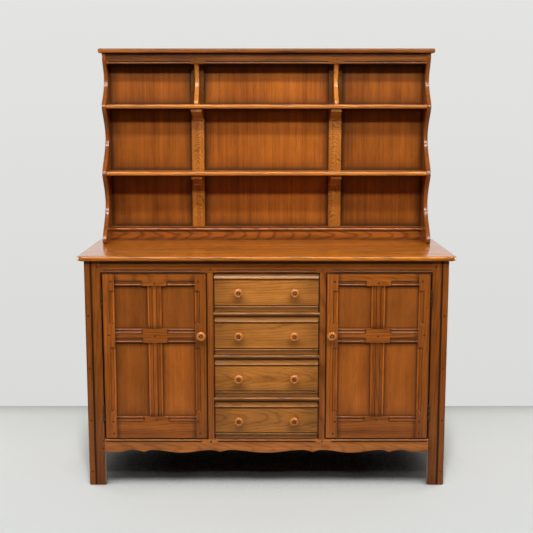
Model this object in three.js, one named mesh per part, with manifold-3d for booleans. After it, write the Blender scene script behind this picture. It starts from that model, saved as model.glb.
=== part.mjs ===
// Joined elm dresser: a cupboard base with two panelled doors and four drawers,
// and an open plate rack with scalloped sides that stands on the worktop.
// Millimetres, +X to the right, -Y to the front, +Z up, origin on the floor at
// the middle of the overall box.

import * as THREE from 'three';
import { mergeVertices } from 'three/addons/utils/BufferGeometryUtils.js';
import Module from 'manifold-3d';

const wasm = await Module();
wasm.setup();

// Clearances and modelling limits
const fit = 0.2;                  // between boards that are glued, housed or screwed together
const drawerSideGap = 1.5;        // between a drawer front and the partition beside it
const drawerEdgeGap = 1.8;        // between a drawer front and the rail above or below it
const drawerRide = 0.3;           // between a drawer side and the runner under it
const doorTopGap = 2.2;
const doorLockGap = 1.9;
const doorHingeGap = 3.8;         // takes the two hinge leaves
const overrun = 4;                // how far a cutting solid passes the wood
const weld = 0.0005;              // vertices nearer than this are one

// Worktop
const worktopWidth = 1370;
const worktopDepth = 510;
const worktopHeight = 863;
const worktopThickness = 18;
const worktopNose = 7;            // rounding of its front and side edges
const worktopCornerRadius = 26;

// Base carcase
const endOverhang = 26;           // of the worktop past the carcase at each end
const frontOverhang = 16;
const backOverhang = 6;
const stileWidth = 38;
const stileThickness = 22;
const sideThickness = 20.8;
const sideStileWidth = 46;
const sideTopRailHeight = 55;
const sideBottomRailHeight = 85;
const sideRailFloorGap = 120;
const panelSink = 10;             // from the face of a frame back to the face of its panel
const panelThickness = 5;
const panelTongue = 8;            // how far a panel runs behind its frame
const jointChamfer = 1.5;         // at the arrises where a front stile meets a side frame
const footRadius = 7;             // of the lower corners of the legs
const topRailHeight = 43.2;
const openingBottom = 176.7;      // top of the apron
const apronHeight = 52;           // at its lowest points
const apronPeakRise = 10.8;       // of its lower edge, above those points
const apronCuspRise = 2.9;
const apronEndRise = 3.4;
const partitionInner = 193;
const partitionThickness = 21.6;
const floorThickness = 16;
const backThickness = 5;
const railBeadWidth = 8;          // bead on the edge of the top rail, the apron and the frieze
const railQuirkWidth = 2.4;
const railQuirkDepth = 2;
const railBeadStop = 9;           // the bead stops this far from an upright
const cupboardShelfHeightShare = 0.477;   // of the height of the opening
const cupboardShelfThickness = 14;
const cupboardShelfSetback = 60;
const battenDepth = 12;
const battenHeight = 14;
const battenEnd = 28;

// Apron outline: where its waves turn, as shares of half its length
const apronMiddlePeakShare = 0.225;
const apronInnerCuspShare = 0.286;
const apronInnerPeakShare = 0.347;
const apronDipShare = 0.522;
const apronOuterPeakShare = 0.706;
const apronOuterCuspShare = 0.758;
const apronLastPeakShare = 0.827;
const apronFlatShare = 0.915;

// Doors
const doorThickness = 18;
const doorStileWidth = 44;
const doorMuntinWidth = 51;
const doorTopRailHeight = 46;
const doorMidRailHeight = 51.5;
const doorBottomRailHeight = 85;
const doorKnobInset = 21;         // from the lock edge
const knobRise = 2;               // of a knob above the middle of what it opens

// Moulding on the frames: quirk, cove and bead, from the face down to the panel
const mouldingWidth = 19;
const quirkWidth = 2.6;
const quirkDepth = 2.6;
const quirkLip = 0.9;
const coveDepth = 3.4;
const coveBellyShare = 0.75;      // of the cove's fall, reached at its middle
const beadRadius = 3.6;
const beadSink = 1.2;
const mouldingStop = 18;          // clear length at a stopped end
const runOut = 9;                 // over which a stopped moulding fades into the face
const runOutShares = [0, 0.35, 1];
const runOutDepthShares = [0, 0.7, 1];
const faceSkim = 0.05;            // a faded cut ends this far above the face

// Drawers
const drawerRailHeight = 14;
const drawerRailDepth = 60;
const drawerRailNose = 3;
const drawerCount = 4;
const drawerFrontThickness = 20;
const drawerProud = 2;
const drawerMouldingHeight = 24;
const drawerQuirkWidth = 1.8;
const drawerQuirkDepth = 3;
const drawerBeadRadius = 3.5;
const drawerCoveSink = 4.5;
const drawerEdgeSink = 8.5;
const drawerEdgeFillet = 3;
const drawerBoxInset = 2;
const drawerBackGap = 34.8;       // between a drawer box and the back of the carcase
const drawerHeadroom = 27.8;      // between a drawer box and the rail above it
const drawerSideThickness = 12;
const drawerBottomThickness = 5;
const drawerBottomRise = 8;
const drawerKnobSpacing = 203;
const runnerWidth = 10;
const runnerEnd = 13;

// Turned knobs
const knobRadius = 18;
const knobLength = 30;
const knobSides = 16;
const knobRadiusShares = [0.5, 0.42, 0.356, 0.5, 0.89, 1, 0.92, 0.67, 0.19, 0.14];
const knobLengthShares = [0, 0.12, 0.3, 0.43, 0.55, 0.68, 0.83, 0.93, 0.93, 1];

// Butt hinges
const hingeHeight = 60;
const hingeTopInset = 91;         // from an end of the door to the middle of the hinge
const hingeBottomInset = 99;
const hingeLeafThickness = 1.6;
const hingeLeafDepth = 15;
const hingeKnuckleRadius = 3;
const hingePinRadius = 1.4;
const hingePinClearance = 0.3;
const hingeKnuckleGap = 0.4;
const hingeEndKnuckle = 15;
const hingeAxisProud = 3.2;       // axis in front of the door's face
const hingeSides = 12;

// Plate rack
const rackInset = 40.5;           // from an end of the worktop to the face of a rack side
const rackHeight = 759;           // above the worktop
const rackSideThickness = 16;
const rackFootDepth = 170;
const rackFootRadius = 17;
const rackLowerWaist = 80;
const rackLowerBulge = 140;
const rackMiddleWaist = 44;
const rackUpperBulge = 114;
const rackUpperWaist = 44;
const rackTopDepth = 80;
const rackTopStraight = 19;
const waistHeightShare = 0.55;
const scallopPull = 0.756;        // pulls the steep part of each scallop toward the bulge
const scallopSteps = 8;
const shelfThickness = 16;
const shelfNose = 7;
const lowerShelfTop = 282.5;
const upperShelfTop = 543.5;
const shelfSetback = 6.5;         // behind the bulge of the side
const corniceThickness = 17;
const corniceOverhang = 14;
const corniceNose = 6;
const corniceCornerRadius = 9;
const friezeHeight = 41;
const friezeThickness = 18;
const friezeSetback = 3;
const uprightCentre = 275;        // of the dividers, the brackets and the back muntins
const dividerThickness = 17;
const rackMuntinWidth = 50;
const rackFrameThickness = 21;    // muntins and plinth rail
const rackBackThickness = 5;
const plinthHeight = 55;
const plinthArris = 2;
const plinthBead = 9;
const plinthQuirk = 2;
const plinthBeadShare = 0.5;      // how round the plinth bead is
const bracketWidth = 43;
const bracketSetback = 14;        // behind the front edge of the shelf it carries
const bracketTipHeight = 12;
const bracketHeight = 44;
const bracketTopRadius = 7;
const bracketLip = 3;             // how proud of the muntin its foot ends

// Steps in round stretches
const nosingSteps = 4;
const cornerSteps = 5;
const beadSteps = 4;
const roundSteps = 3;
const sweepSteps = 6;
const waveSteps = 5;

// Places worked out from the sizes above, in the frame of the base:
// y = 0 is the front face of the carcase, z = 0 the floor.
const halfBase = worktopWidth / 2 - endOverhang;
const baseDepth = worktopDepth - frontOverhang - backOverhang;
const carcaseTop = worktopHeight - worktopThickness;
const sideInner = halfBase - sideThickness;
const stileOuter = sideInner - fit;
const stileInner = stileOuter - stileWidth;
const backFace = baseDepth - backThickness;
const partitionOuter = partitionInner + partitionThickness;
const openingTop = carcaseTop - topRailHeight;
const openingHeight = openingTop - openingBottom;
const drawerOpening = (openingHeight - (drawerCount - 1) * drawerRailHeight) / drawerCount;
const drawerPitch = drawerOpening + drawerRailHeight;
const drawerBottoms = Array.from({ length: drawerCount },
  (_, i) => openingTop - drawerOpening - i * drawerPitch);
const doorBottom = openingBottom + doorTopGap;
const doorTop = openingTop - doorTopGap;
const midRailCentre = drawerBottoms[1] + drawerOpening / 2;
const midRailLow = midRailCentre - doorMidRailHeight / 2;
const midRailHigh = midRailCentre + doorMidRailHeight / 2;
const cupboardShelfHeight = openingBottom + openingHeight * cupboardShelfHeightShare;
const knobReach = knobLength + fit + drawerProud - frontOverhang;
const worktopFront = (knobReach - worktopDepth) / 2;
const baseFront = worktopFront + frontOverhang;
const worktopBack = worktopFront + worktopDepth;

// Finishes
function woodMaterial(colour) {
  return new THREE.MeshStandardMaterial({ color: colour, roughness: 0.38, metalness: 0 });
}
const elm = woodMaterial(0xa8622b);
const elmLight = woodMaterial(0xc07a3a);
const elmDark = woodMaterial(0x7d4520);
const panelElm = woodMaterial(0xb46c35);
const knobElm = woodMaterial(0xc98a55);
const drawerWood = woodMaterial(0xb88a5a);
const backPly = woodMaterial(0x9a6a3d);
const agedBrass = new THREE.MeshStandardMaterial({ color: 0x4a3a26, roughness: 0.45, metalness: 0.9 });

const axisX = new THREE.Vector3(1, 0, 0);
const axisY = new THREE.Vector3(0, 1, 0);
const axisZ = new THREE.Vector3(0, 0, 1);

// Joining and cutting

function solidOf(geometry) {
  const bare = geometry.clone();
  bare.deleteAttribute('normal');
  bare.deleteAttribute('uv');
  const merged = mergeVertices(bare, weld);
  const vertProperties = new Float32Array(merged.attributes.position.array);
  const triVerts = new Uint32Array(merged.index.array);
  return new wasm.Manifold(new wasm.Mesh({ numProp: 3, vertProperties, triVerts }));
}

function geometryOf(solid) {
  const mesh = solid.getMesh();
  const geometry = new THREE.BufferGeometry();
  geometry.setAttribute('position', new THREE.BufferAttribute(new Float32Array(mesh.vertProperties), 3));
  geometry.setIndex(new THREE.BufferAttribute(new Uint32Array(mesh.triVerts), 1));
  geometry.computeVertexNormals();
  return geometry;
}

function joined(geometries) {
  return geometries.map(solidOf).reduce((whole, piece) => whole.add(piece));
}

function cutAway(solid, geometries) {
  return geometries.map(solidOf).reduce((rest, piece) => rest.subtract(piece), solid);
}

function named(name, geometry, material, group) {
  const mesh = new THREE.Mesh(geometry, material);
  mesh.name = name;
  group.add(mesh);
  return mesh;
}

// Basic forms

// A board given by its limits along each axis.
function board(x0, x1, y0, y1, z0, z1) {
  const geometry = new THREE.BoxGeometry(Math.abs(x1 - x0), y1 - y0, z1 - z0);
  geometry.translate((x0 + x1) / 2, (y0 + y1) / 2, (z0 + z1) / 2);
  return geometry;
}

function shapeOf(points) {
  return new THREE.Shape(points.map(([a, b]) => new THREE.Vector2(a, b)));
}

// An outline of (y, z) points carried along X from x0 to x1.
function alongX(points, x0, x1) {
  const geometry = new THREE.ExtrudeGeometry(shapeOf(points), { depth: x1 - x0, bevelEnabled: false });
  geometry.applyMatrix4(new THREE.Matrix4().makeBasis(axisY, axisZ, axisX));
  geometry.translate(x0, 0, 0);
  return geometry;
}

// An outline of (x, z) points carried along Y from y0 to y1.
function alongY(points, y0, y1) {
  const geometry = new THREE.ExtrudeGeometry(shapeOf(points), { depth: y1 - y0, bevelEnabled: false });
  geometry.rotateX(Math.PI / 2);
  geometry.translate(0, y1, 0);
  return geometry;
}

// Points on an arc about (a, b), without its first point.
function arcPoints(a, b, radius, fromAngle, toAngle, steps) {
  return Array.from({ length: steps }, (_, i) => {
    const angle = fromAngle + ((toAngle - fromAngle) * (i + 1)) / steps;
    return [a + radius * Math.cos(angle), b + radius * Math.sin(angle)];
  });
}

// A slab with a rounded front and sides and a square back, lying from z = 0 up.
// y = 0 is its back edge.
function nosedSlab(width, depth, thickness, nose, cornerRadius) {
  const half = width / 2 - nose;
  const front = -(depth - nose);
  const radius = cornerRadius - nose;
  const shape = new THREE.Shape();
  shape.moveTo(-half, overrun);
  shape.lineTo(-half, front + radius);
  shape.absarc(-half + radius, front + radius, radius, Math.PI, Math.PI * 1.5, false);
  shape.lineTo(half - radius, front);
  shape.absarc(half - radius, front + radius, radius, Math.PI * 1.5, Math.PI * 2, false);
  shape.lineTo(half, overrun);
  const geometry = new THREE.ExtrudeGeometry(shape, {
    depth: thickness - nose * 2,
    bevelThickness: nose,
    bevelSize: nose,
    bevelSegments: nosingSteps,
    curveSegments: cornerSteps,
  });
  geometry.translate(0, 0, nose);
  const behind = board(-width, width, 0, nose * 2 + overrun, -overrun, thickness + overrun);
  return geometryOf(cutAway(solidOf(geometry), [behind]));
}

// Mouldings

// Section of the frame moulding as a cutter: u runs from the panel edge into the
// board, v from the face into the wood.
function mouldingSection() {
  const quirkMiddle = mouldingWidth - quirkWidth / 2;
  const coveStart = mouldingWidth - quirkWidth;
  const coveEnd = beadRadius * 2;
  const coveMiddle = (coveStart + coveEnd) / 2;
  const coveBelly = quirkLip + (coveDepth - quirkLip) * coveBellyShare;
  const bead = arcPoints(beadRadius, beadSink + beadRadius, beadRadius, 0, -Math.PI, beadSteps);
  return [
    [-overrun, -overrun],
    [mouldingWidth, -overrun],
    [mouldingWidth, 0],
    [quirkMiddle, quirkDepth],
    [coveStart, quirkLip],
    [coveMiddle, coveBelly],
    [coveEnd, beadSink + beadRadius],
    ...bead,
    [-overrun, beadSink + beadRadius],
  ];
}

// Section of the narrow quirk that makes a bead on the edge of a rail.
function quirkSection() {
  return [
    [railBeadWidth, -overrun],
    [railBeadWidth + railQuirkWidth, -overrun],
    [railBeadWidth + railQuirkWidth, 0],
    [railBeadWidth + railQuirkWidth / 2, railQuirkDepth],
    [railBeadWidth, 0],
  ];
}

// A cutter of the given section, as long as asked. At a stopped end its depth
// fades to nothing over the run-out.
function stoppedCutter(section, length, startStopped, endStopped) {
  const fade = runOutShares.map((share, i) => [share * runOut, runOutDepthShares[i]]);
  const start = startStopped ? fade : [[0, 1]];
  const end = (endStopped ? fade : [[0, 1]]).map(([s, depth]) => [length - s, depth]).reverse();
  const stations = [...start, ...end];
  const steps = stations.length - 1;
  const geometry = new THREE.ExtrudeGeometry(shapeOf(section), { depth: 1, steps, bevelEnabled: false });
  const position = geometry.attributes.position;
  for (let i = 0; i < position.count; i += 1) {
    const [s, depthShare] = stations[Math.round(position.getZ(i) * steps)];
    const v = position.getY(i);
    const faded = depthShare === 0 ? Math.min(v, -faceSkim) : v * depthShare;
    position.setXYZ(i, position.getX(i), v < 0 ? v : faded, s);
  }
  return geometry;
}

// Puts a cutter in place: u across the board, v into the wood, length along u x v.
function placedCutter(geometry, origin, u, v) {
  const along = new THREE.Vector3().crossVectors(u, v);
  const place = new THREE.Matrix4().makeBasis(u, v, along).setPosition(origin);
  return geometry.applyMatrix4(place);
}

// Cutters round one panel opening, which lies between a0 and a1 along the across
// axis and between z0 and z1. v points into the wood. Each pair of stops says
// whether the moulding on that edge is stopped at its low and at its high end.
function openingCutters({ a0, a1, z0, z1, stops }, across, v, at) {
  const edge = (u, low, high, [lowStopped, highStopped], corner) => {
    const along = new THREE.Vector3().crossVectors(u, v);
    const rising = along.dot(axisZ) + along.dot(across) > 0;
    const first = low + (lowStopped ? mouldingStop : 0);
    const last = high - (highStopped ? mouldingStop : 0);
    const section = mouldingSection();
    const cutter = rising
      ? stoppedCutter(section, last - first, lowStopped, highStopped)
      : stoppedCutter(section, last - first, highStopped, lowStopped);
    return placedCutter(cutter, corner(rising ? first : last), u, v);
  };
  return [
    edge(across.clone().negate(), z0, z1, stops.low, (z) => at(a0, z)),
    edge(across, z0, z1, stops.high, (z) => at(a1, z)),
    edge(axisZ, a0, a1, stops.top, (a) => at(a, z1)),
    edge(axisZ.clone().negate(), a0, a1, stops.bottom, (a) => at(a, z0)),
  ];
}

// Base

function makeWorktop(group) {
  const slab = nosedSlab(worktopWidth, worktopDepth, worktopThickness, worktopNose, worktopCornerRadius);
  const mesh = named('worktop', slab, elm, group);
  mesh.position.set(0, worktopBack - baseFront, carcaseTop);
}

// The sliver taken off a lower corner of a leg, whose faces meet at x, to round it.
function footCutter(x, inward) {
  const centre = x + inward * footRadius;
  const arc = arcPoints(0, 0, footRadius, Math.PI, Math.PI * 1.5, roundSteps)
    .map(([a, b]) => [centre + inward * a, footRadius + b]);
  const outline = [
    [x - inward * overrun, footRadius],
    [x, footRadius],
    ...arc,
    [centre, -overrun],
    [x - inward * overrun, -overrun],
  ];
  return alongY(inward > 0 ? outline.reverse() : outline, -overrun, baseDepth + overrun);
}

function makeFrontStile(side, name, group) {
  const outline = [
    [stileInner, 0],
    [stileOuter - jointChamfer, 0],
    [stileOuter, jointChamfer],
    [stileOuter, stileThickness],
    [stileInner, stileThickness],
  ].map(([x, y]) => [side * x, y]);
  const geometry = new THREE.ExtrudeGeometry(shapeOf(side > 0 ? outline : outline.reverse()), {
    depth: carcaseTop - fit,
    bevelEnabled: false,
  });
  const stile = cutAway(solidOf(geometry), [footCutter(side * stileInner, side)]);
  named(name, geometryOf(stile), elm, group);
}

// The wedge taken off the front inner arris of a side frame.
function frontArrisWedge(side, inner) {
  const points = [
    [inner - side * overrun, -overrun],
    [inner + side * (jointChamfer + overrun), -overrun],
    [inner - side * overrun, jointChamfer + overrun],
  ];
  const shape = shapeOf(side > 0 ? points : points.reverse());
  const depth = carcaseTop + overrun * 2;
  const geometry = new THREE.ExtrudeGeometry(shape, { depth, bevelEnabled: false });
  geometry.translate(0, 0, -overrun);
  return geometry;
}

// A batten that carries a cupboard shelf, on a wall face at x, standing out by depth.
function shelfBatten(x, depth, into) {
  return board(x - into, x + depth, battenEnd, baseDepth - battenEnd,
    cupboardShelfHeight - battenHeight, cupboardShelfHeight);
}

// A joined frame with two openings, its panel let in from behind, a chamfer at the
// front arris and a batten for the cupboard shelf.
function makeSideFrame(side, suffix, group) {
  const inner = side * sideInner;
  const outer = side * halfBase;
  const top = carcaseTop - fit;
  const lowRailTop = sideRailFloorGap + sideBottomRailHeight;
  const topRailBottom = top - sideTopRailHeight;
  const y0 = sideStileWidth;
  const y1 = baseDepth - sideStileWidth;
  const rails = [[sideRailFloorGap, lowRailTop], [midRailLow, midRailHigh], [topRailBottom, top]];
  const boards = [
    board(inner, outer, 0, y0, 0, top),
    board(inner, outer, y1, baseDepth, 0, top),
    ...rails.map(([z0, z1]) => board(inner, outer, y0 - overrun, y1 + overrun, z0, z1)),
  ];
  const stops = { low: [true, true], high: [true, true], top: [false, false], bottom: [false, false] };
  const openings = [
    { a0: y0, a1: y1, z0: lowRailTop, z1: midRailLow, stops },
    { a0: y0, a1: y1, z0: midRailHigh, z1: topRailBottom, stops },
  ];
  const into = axisX.clone().multiplyScalar(-side);
  const cutters = openings.flatMap((opening) => openingCutters(opening, axisY, into,
    (y, z) => new THREE.Vector3(outer, y, z)));
  const panelFace = outer - side * panelSink;
  const rebate = board(inner - side * overrun, panelFace, y0 - panelTongue, y1 + panelTongue,
    lowRailTop - panelTongue, topRailBottom + panelTongue);
  const arrises = [frontArrisWedge(side, inner), footCutter(outer, -side)];
  const frame = cutAway(joined(boards), [...cutters, rebate, ...arrises]);
  const batten = solidOf(shelfBatten(inner, -side * battenDepth, -side * fit));
  named(`side_frame_${suffix}`, geometryOf(frame.add(batten)), elm, group);
  const sheet = board(panelFace - side * fit, panelFace - side * (fit + panelThickness),
    y0 - panelTongue + fit, y1 + panelTongue - fit,
    lowRailTop - panelTongue + fit, topRailBottom + panelTongue - fit);
  named(`side_panel_${suffix}`, sheet, panelElm, group);
}

// Lengths of a rail between the uprights, where its bead runs.
function beadRuns() {
  return [
    [-stileInner, -partitionOuter, false, true],
    [-partitionInner, partitionInner, true, true],
    [partitionOuter, stileInner, true, false],
  ];
}

// Quirks along the lower edge (down) or the upper edge of a rail at the given height.
function railQuirks(height, lowerEdge, runs) {
  const u = lowerEdge ? axisZ.clone() : axisZ.clone().negate();
  return runs.map(([x0, x1, lowStopped, highStopped]) => {
    const low = x0 + (lowStopped ? railBeadStop : 0);
    const high = x1 - (highStopped ? railBeadStop : 0);
    const rising = !lowerEdge;
    const cutter = stoppedCutter(quirkSection(), high - low,
      rising ? lowStopped : highStopped, rising ? highStopped : lowStopped);
    return placedCutter(cutter, new THREE.Vector3(rising ? low : high, 0, height), u, axisY);
  });
}

function makeFrontTopRail(group) {
  const length = stileInner - fit;
  const rail = solidOf(board(-length, length, 0, stileThickness, openingTop + fit, carcaseTop - fit));
  const quirks = railQuirks(openingTop + fit, true, beadRuns());
  named('front_top_rail', geometryOf(cutAway(rail, quirks)), elm, group);
}

// Half cosine steps from one turning point of the apron to the next. A cusp is
// reached with a slope, so that it stays pointed.
function apronEdge(half) {
  const lowest = openingBottom - apronHeight;
  const turns = [
    [0, 0],
    [apronMiddlePeakShare, apronPeakRise],
    [apronInnerCuspShare, apronCuspRise],
    [apronInnerPeakShare, apronPeakRise],
    [apronDipShare, 0],
    [apronOuterPeakShare, apronPeakRise],
    [apronOuterCuspShare, apronCuspRise],
    [apronLastPeakShare, apronPeakRise],
    [apronFlatShare, apronEndRise],
  ].map(([share, rise]) => [share * half, lowest + rise]);
  const cusp = lowest + apronCuspRise;
  const points = [turns[0]];
  for (let i = 1; i < turns.length; i += 1) {
    const [x0, z0] = turns[i - 1];
    const [x1, z1] = turns[i];
    for (let k = 1; k <= waveSteps; k += 1) {
      const t = k / waveSteps;
      let rise = (1 - Math.cos(Math.PI * t)) / 2;
      if (z1 === cusp) rise = 1 - Math.cos((Math.PI * t) / 2);
      if (z0 === cusp) rise = Math.sin((Math.PI * t) / 2);
      points.push([x0 + (x1 - x0) * t, z0 + (z1 - z0) * rise]);
    }
  }
  points.push([half, lowest + apronEndRise]);
  return points;
}

function makeApron(group) {
  const half = stileInner - fit;
  const edge = apronEdge(half);
  const mirrored = edge.slice(1).reverse().map(([x, z]) => [-x, z]);
  const top = openingBottom - fit;
  const outline = [...mirrored, ...edge, [half, top], [-half, top]];
  const runs = beadRuns().map(([x0, x1]) => [x0, x1, true, true]);
  const solid = cutAway(solidOf(alongY(outline, 0, stileThickness)), railQuirks(top, false, runs));
  named('front_apron', geometryOf(solid), elm, group);
}

// A partition shows its front edge between the rails. Behind them it runs up to the
// worktop, and it carries the drawer runners and a batten for the cupboard shelf.
function makePartition(side, suffix, group) {
  const behind = stileThickness + fit;
  const outline = [
    [0, openingBottom],
    [behind, openingBottom],
    [behind, openingBottom + fit],
    [backFace - fit, openingBottom + fit],
    [backFace - fit, carcaseTop - fit],
    [behind, carcaseTop - fit],
    [behind, openingTop],
    [0, openingTop],
  ];
  const inner = side * partitionInner;
  const outer = side * partitionOuter;
  const wall = alongX(outline, Math.min(inner, outer), Math.max(inner, outer));
  const runners = drawerBottoms.slice(0, -1).map((z) => board(inner + side * fit, inner - side * runnerWidth,
    drawerRailDepth + fit, backFace - runnerEnd, z - drawerRailHeight, z));
  const batten = shelfBatten(outer, side * battenDepth, side * fit);
  named(`partition_${suffix}`, geometryOf(joined([wall, ...runners, batten])), elm, group);
}

function makeDrawerRails(group) {
  drawerBottoms.slice(0, -1).forEach((top, i) => {
    const bottom = top - drawerRailHeight;
    const r = drawerRailNose;
    const outline = [
      [drawerRailDepth, bottom],
      [drawerRailDepth, top],
      [r, top],
      ...arcPoints(r, top - r, r, Math.PI / 2, Math.PI, roundSteps),
      [0, bottom + r],
      ...arcPoints(r, bottom + r, r, Math.PI, Math.PI * 1.5, roundSteps),
    ].reverse();
    const half = partitionInner - fit;
    named(`drawer_rail_${i + 1}`, alongX(outline, -half, half), elm, group);
  });
}

function makeBaseFloor(group) {
  const half = sideInner - fit;
  const bottom = openingBottom - floorThickness;
  const geometry = board(-half, half, stileThickness + fit, backFace - fit, bottom, openingBottom);
  named('base_floor', geometry, drawerWood, group);
}

function makeBaseBack(group) {
  const half = sideInner - fit;
  const sheet = board(-half, half, backFace, baseDepth, sideRailFloorGap, carcaseTop - fit);
  named('base_back', sheet, backPly, group);
}

function makeCupboardShelf(side, suffix, group) {
  const x0 = side * (partitionOuter + fit);
  const x1 = side * (sideInner - fit);
  const bottom = cupboardShelfHeight + fit;
  const top = bottom + cupboardShelfThickness;
  const geometry = board(x0, x1, cupboardShelfSetback, backFace - fit, bottom, top);
  named(`cupboard_shelf_${suffix}`, geometry, drawerWood, group);
}

// Turned knob with its seat at the origin, standing out toward -Y.
function knobGeometry() {
  const turned = knobRadiusShares.map((share, i) => [share * knobRadius, knobLengthShares[i] * knobLength]);
  const profile = [[0, 0], ...turned, [0, knobLength]].map(([r, out]) => new THREE.Vector2(r, out));
  const geometry = new THREE.LatheGeometry(profile, knobSides);
  geometry.rotateX(Math.PI);
  return geometry;
}

function makeKnob(name, x, y, z, group) {
  const mesh = named(name, knobGeometry(), knobElm, group);
  mesh.position.set(x, y - fit, z);
}

// Doors

// A joined and panelled door, in the frame of the base, with its hinge edge outward.
function makeDoor(side, suffix, group) {
  const hinge = stileInner - doorHingeGap;
  const lock = partitionOuter + doorLockGap;
  const x0 = Math.min(side * hinge, side * lock);
  const x1 = Math.max(side * hinge, side * lock);
  const z0 = doorBottom;
  const z1 = doorTop;
  const middle = (x0 + x1) / 2;
  const left = x0 + doorStileWidth;
  const right = x1 - doorStileWidth;
  const muntinLeft = middle - doorMuntinWidth / 2;
  const muntinRight = middle + doorMuntinWidth / 2;
  const low = z0 + doorBottomRailHeight;
  const high = z1 - doorTopRailHeight;
  const whole = board(x0, x1, 0, doorThickness, z0, z1);
  const columns = [[left, muntinLeft, false], [muntinRight, right, true]];
  const rows = [[low, midRailLow], [midRailHigh, high]];
  const openings = rows.flatMap(([a, b]) => columns.map(([c, d, mirrored]) => {
    const stopped = [true, true];
    const through = [false, false];
    const rail = mirrored ? [true, false] : [false, true];
    return {
      a0: c, a1: d, z0: a, z1: b,
      stops: {
        low: mirrored ? through : stopped,
        high: mirrored ? stopped : through,
        top: rail,
        bottom: rail,
      },
    };
  }));
  const holes = openings.map((o) => board(o.a0, o.a1, -overrun, doorThickness + overrun, o.z0, o.z1));
  const cutters = openings.flatMap((opening) => openingCutters(opening, axisX, axisY,
    (x, z) => new THREE.Vector3(x, 0, z)));
  const rebate = board(left - panelTongue, right + panelTongue, panelSink, doorThickness + overrun,
    low - panelTongue, high + panelTongue);
  const frame = cutAway(solidOf(whole), [...holes, ...cutters, rebate]);
  named(`door_frame_${suffix}`, geometryOf(frame), elm, group);
  const sheet = board(left - panelTongue + fit, right + panelTongue - fit, panelSink + fit,
    panelSink + fit + panelThickness, low - panelTongue + fit, high + panelTongue - fit);
  named(`door_panel_${suffix}`, sheet, panelElm, group);
  makeKnob(`door_knob_${suffix}`, side * (lock + doorKnobInset), 0, midRailCentre + knobRise, group);
}

// One butt hinge: a leaf on the stile that holds the pin and the end knuckles, and
// a leaf on the door with the long middle knuckle.
function makeHinge(side, centre, suffix, group) {
  const axis = side * (stileInner - doorHingeGap / 2);
  const bottom = centre - hingeHeight / 2;
  const knuckle = (radius, z0, z1) => {
    const geometry = new THREE.CylinderGeometry(radius, radius, z1 - z0, hingeSides);
    geometry.rotateX(Math.PI / 2);
    geometry.translate(axis, -hingeAxisProud, (z0 + z1) / 2);
    return geometry;
  };
  const leafStart = -hingeAxisProud;
  const stileFace = side * (stileInner - fit);
  const doorFace = side * (stileInner - doorHingeGap + fit);
  const stileLeaf = board(stileFace, stileFace - side * hingeLeafThickness, fit, hingeLeafDepth,
    bottom, bottom + hingeHeight);
  const doorLeaf = board(doorFace, doorFace + side * hingeLeafThickness, fit, hingeLeafDepth,
    bottom, bottom + hingeHeight);
  const lowEnd = bottom + hingeEndKnuckle;
  const highEnd = bottom + hingeHeight - hingeEndKnuckle;
  const neck = (face, inward, z0, z1) => board(face, face + inward * hingeLeafThickness,
    leafStart, fit * 2, z0, z1);
  const cabinetLeaf = joined([
    stileLeaf,
    neck(stileFace, -side, bottom, lowEnd),
    neck(stileFace, -side, highEnd, bottom + hingeHeight),
    knuckle(hingeKnuckleRadius, bottom, lowEnd),
    knuckle(hingeKnuckleRadius, highEnd, bottom + hingeHeight),
    knuckle(hingePinRadius, bottom, bottom + hingeHeight),
  ]);
  const barrel = joined([
    doorLeaf,
    neck(doorFace, side, lowEnd + hingeKnuckleGap, highEnd - hingeKnuckleGap),
    knuckle(hingeKnuckleRadius, lowEnd + hingeKnuckleGap, highEnd - hingeKnuckleGap),
  ]);
  const doorPart = cutAway(barrel, [knuckle(hingePinRadius + hingePinClearance, bottom, bottom + hingeHeight)]);
  named(`hinge_cabinet_leaf_${suffix}`, geometryOf(cabinetLeaf), agedBrass, group);
  named(`hinge_door_leaf_${suffix}`, geometryOf(doorPart), agedBrass, group);
}

// Drawers

// Side view of a drawer front: a raised field between two mouldings, each with a
// quirk, a bead and a cove that falls away to the edge. y = 0 is the field.
function drawerFrontOutline(height) {
  const fieldEdge = drawerMouldingHeight;
  const beadStart = fieldEdge - drawerQuirkWidth;
  const beadMiddle = beadStart - drawerBeadRadius;
  const beadEnd = beadStart - drawerBeadRadius * 2;
  const coveMiddle = (beadEnd + drawerEdgeFillet) / 2;
  const coveBelly = drawerCoveSink + (drawerEdgeSink - drawerCoveSink) * coveBellyShare;
  const bead = arcPoints(beadMiddle, drawerCoveSink, drawerBeadRadius, 0, -Math.PI, beadSteps)
    .map(([u, v]) => [v, u]);
  const lower = [
    [drawerFrontThickness, 0],
    [drawerEdgeSink, 0],
    [drawerEdgeSink, drawerEdgeFillet],
    [coveBelly, coveMiddle],
    ...bead.reverse(),
    [drawerCoveSink, beadStart],
    [0, fieldEdge],
  ];
  const upper = lower.slice().reverse().map(([y, z]) => [y, height - z]);
  return [...lower, ...upper];
}

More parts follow.
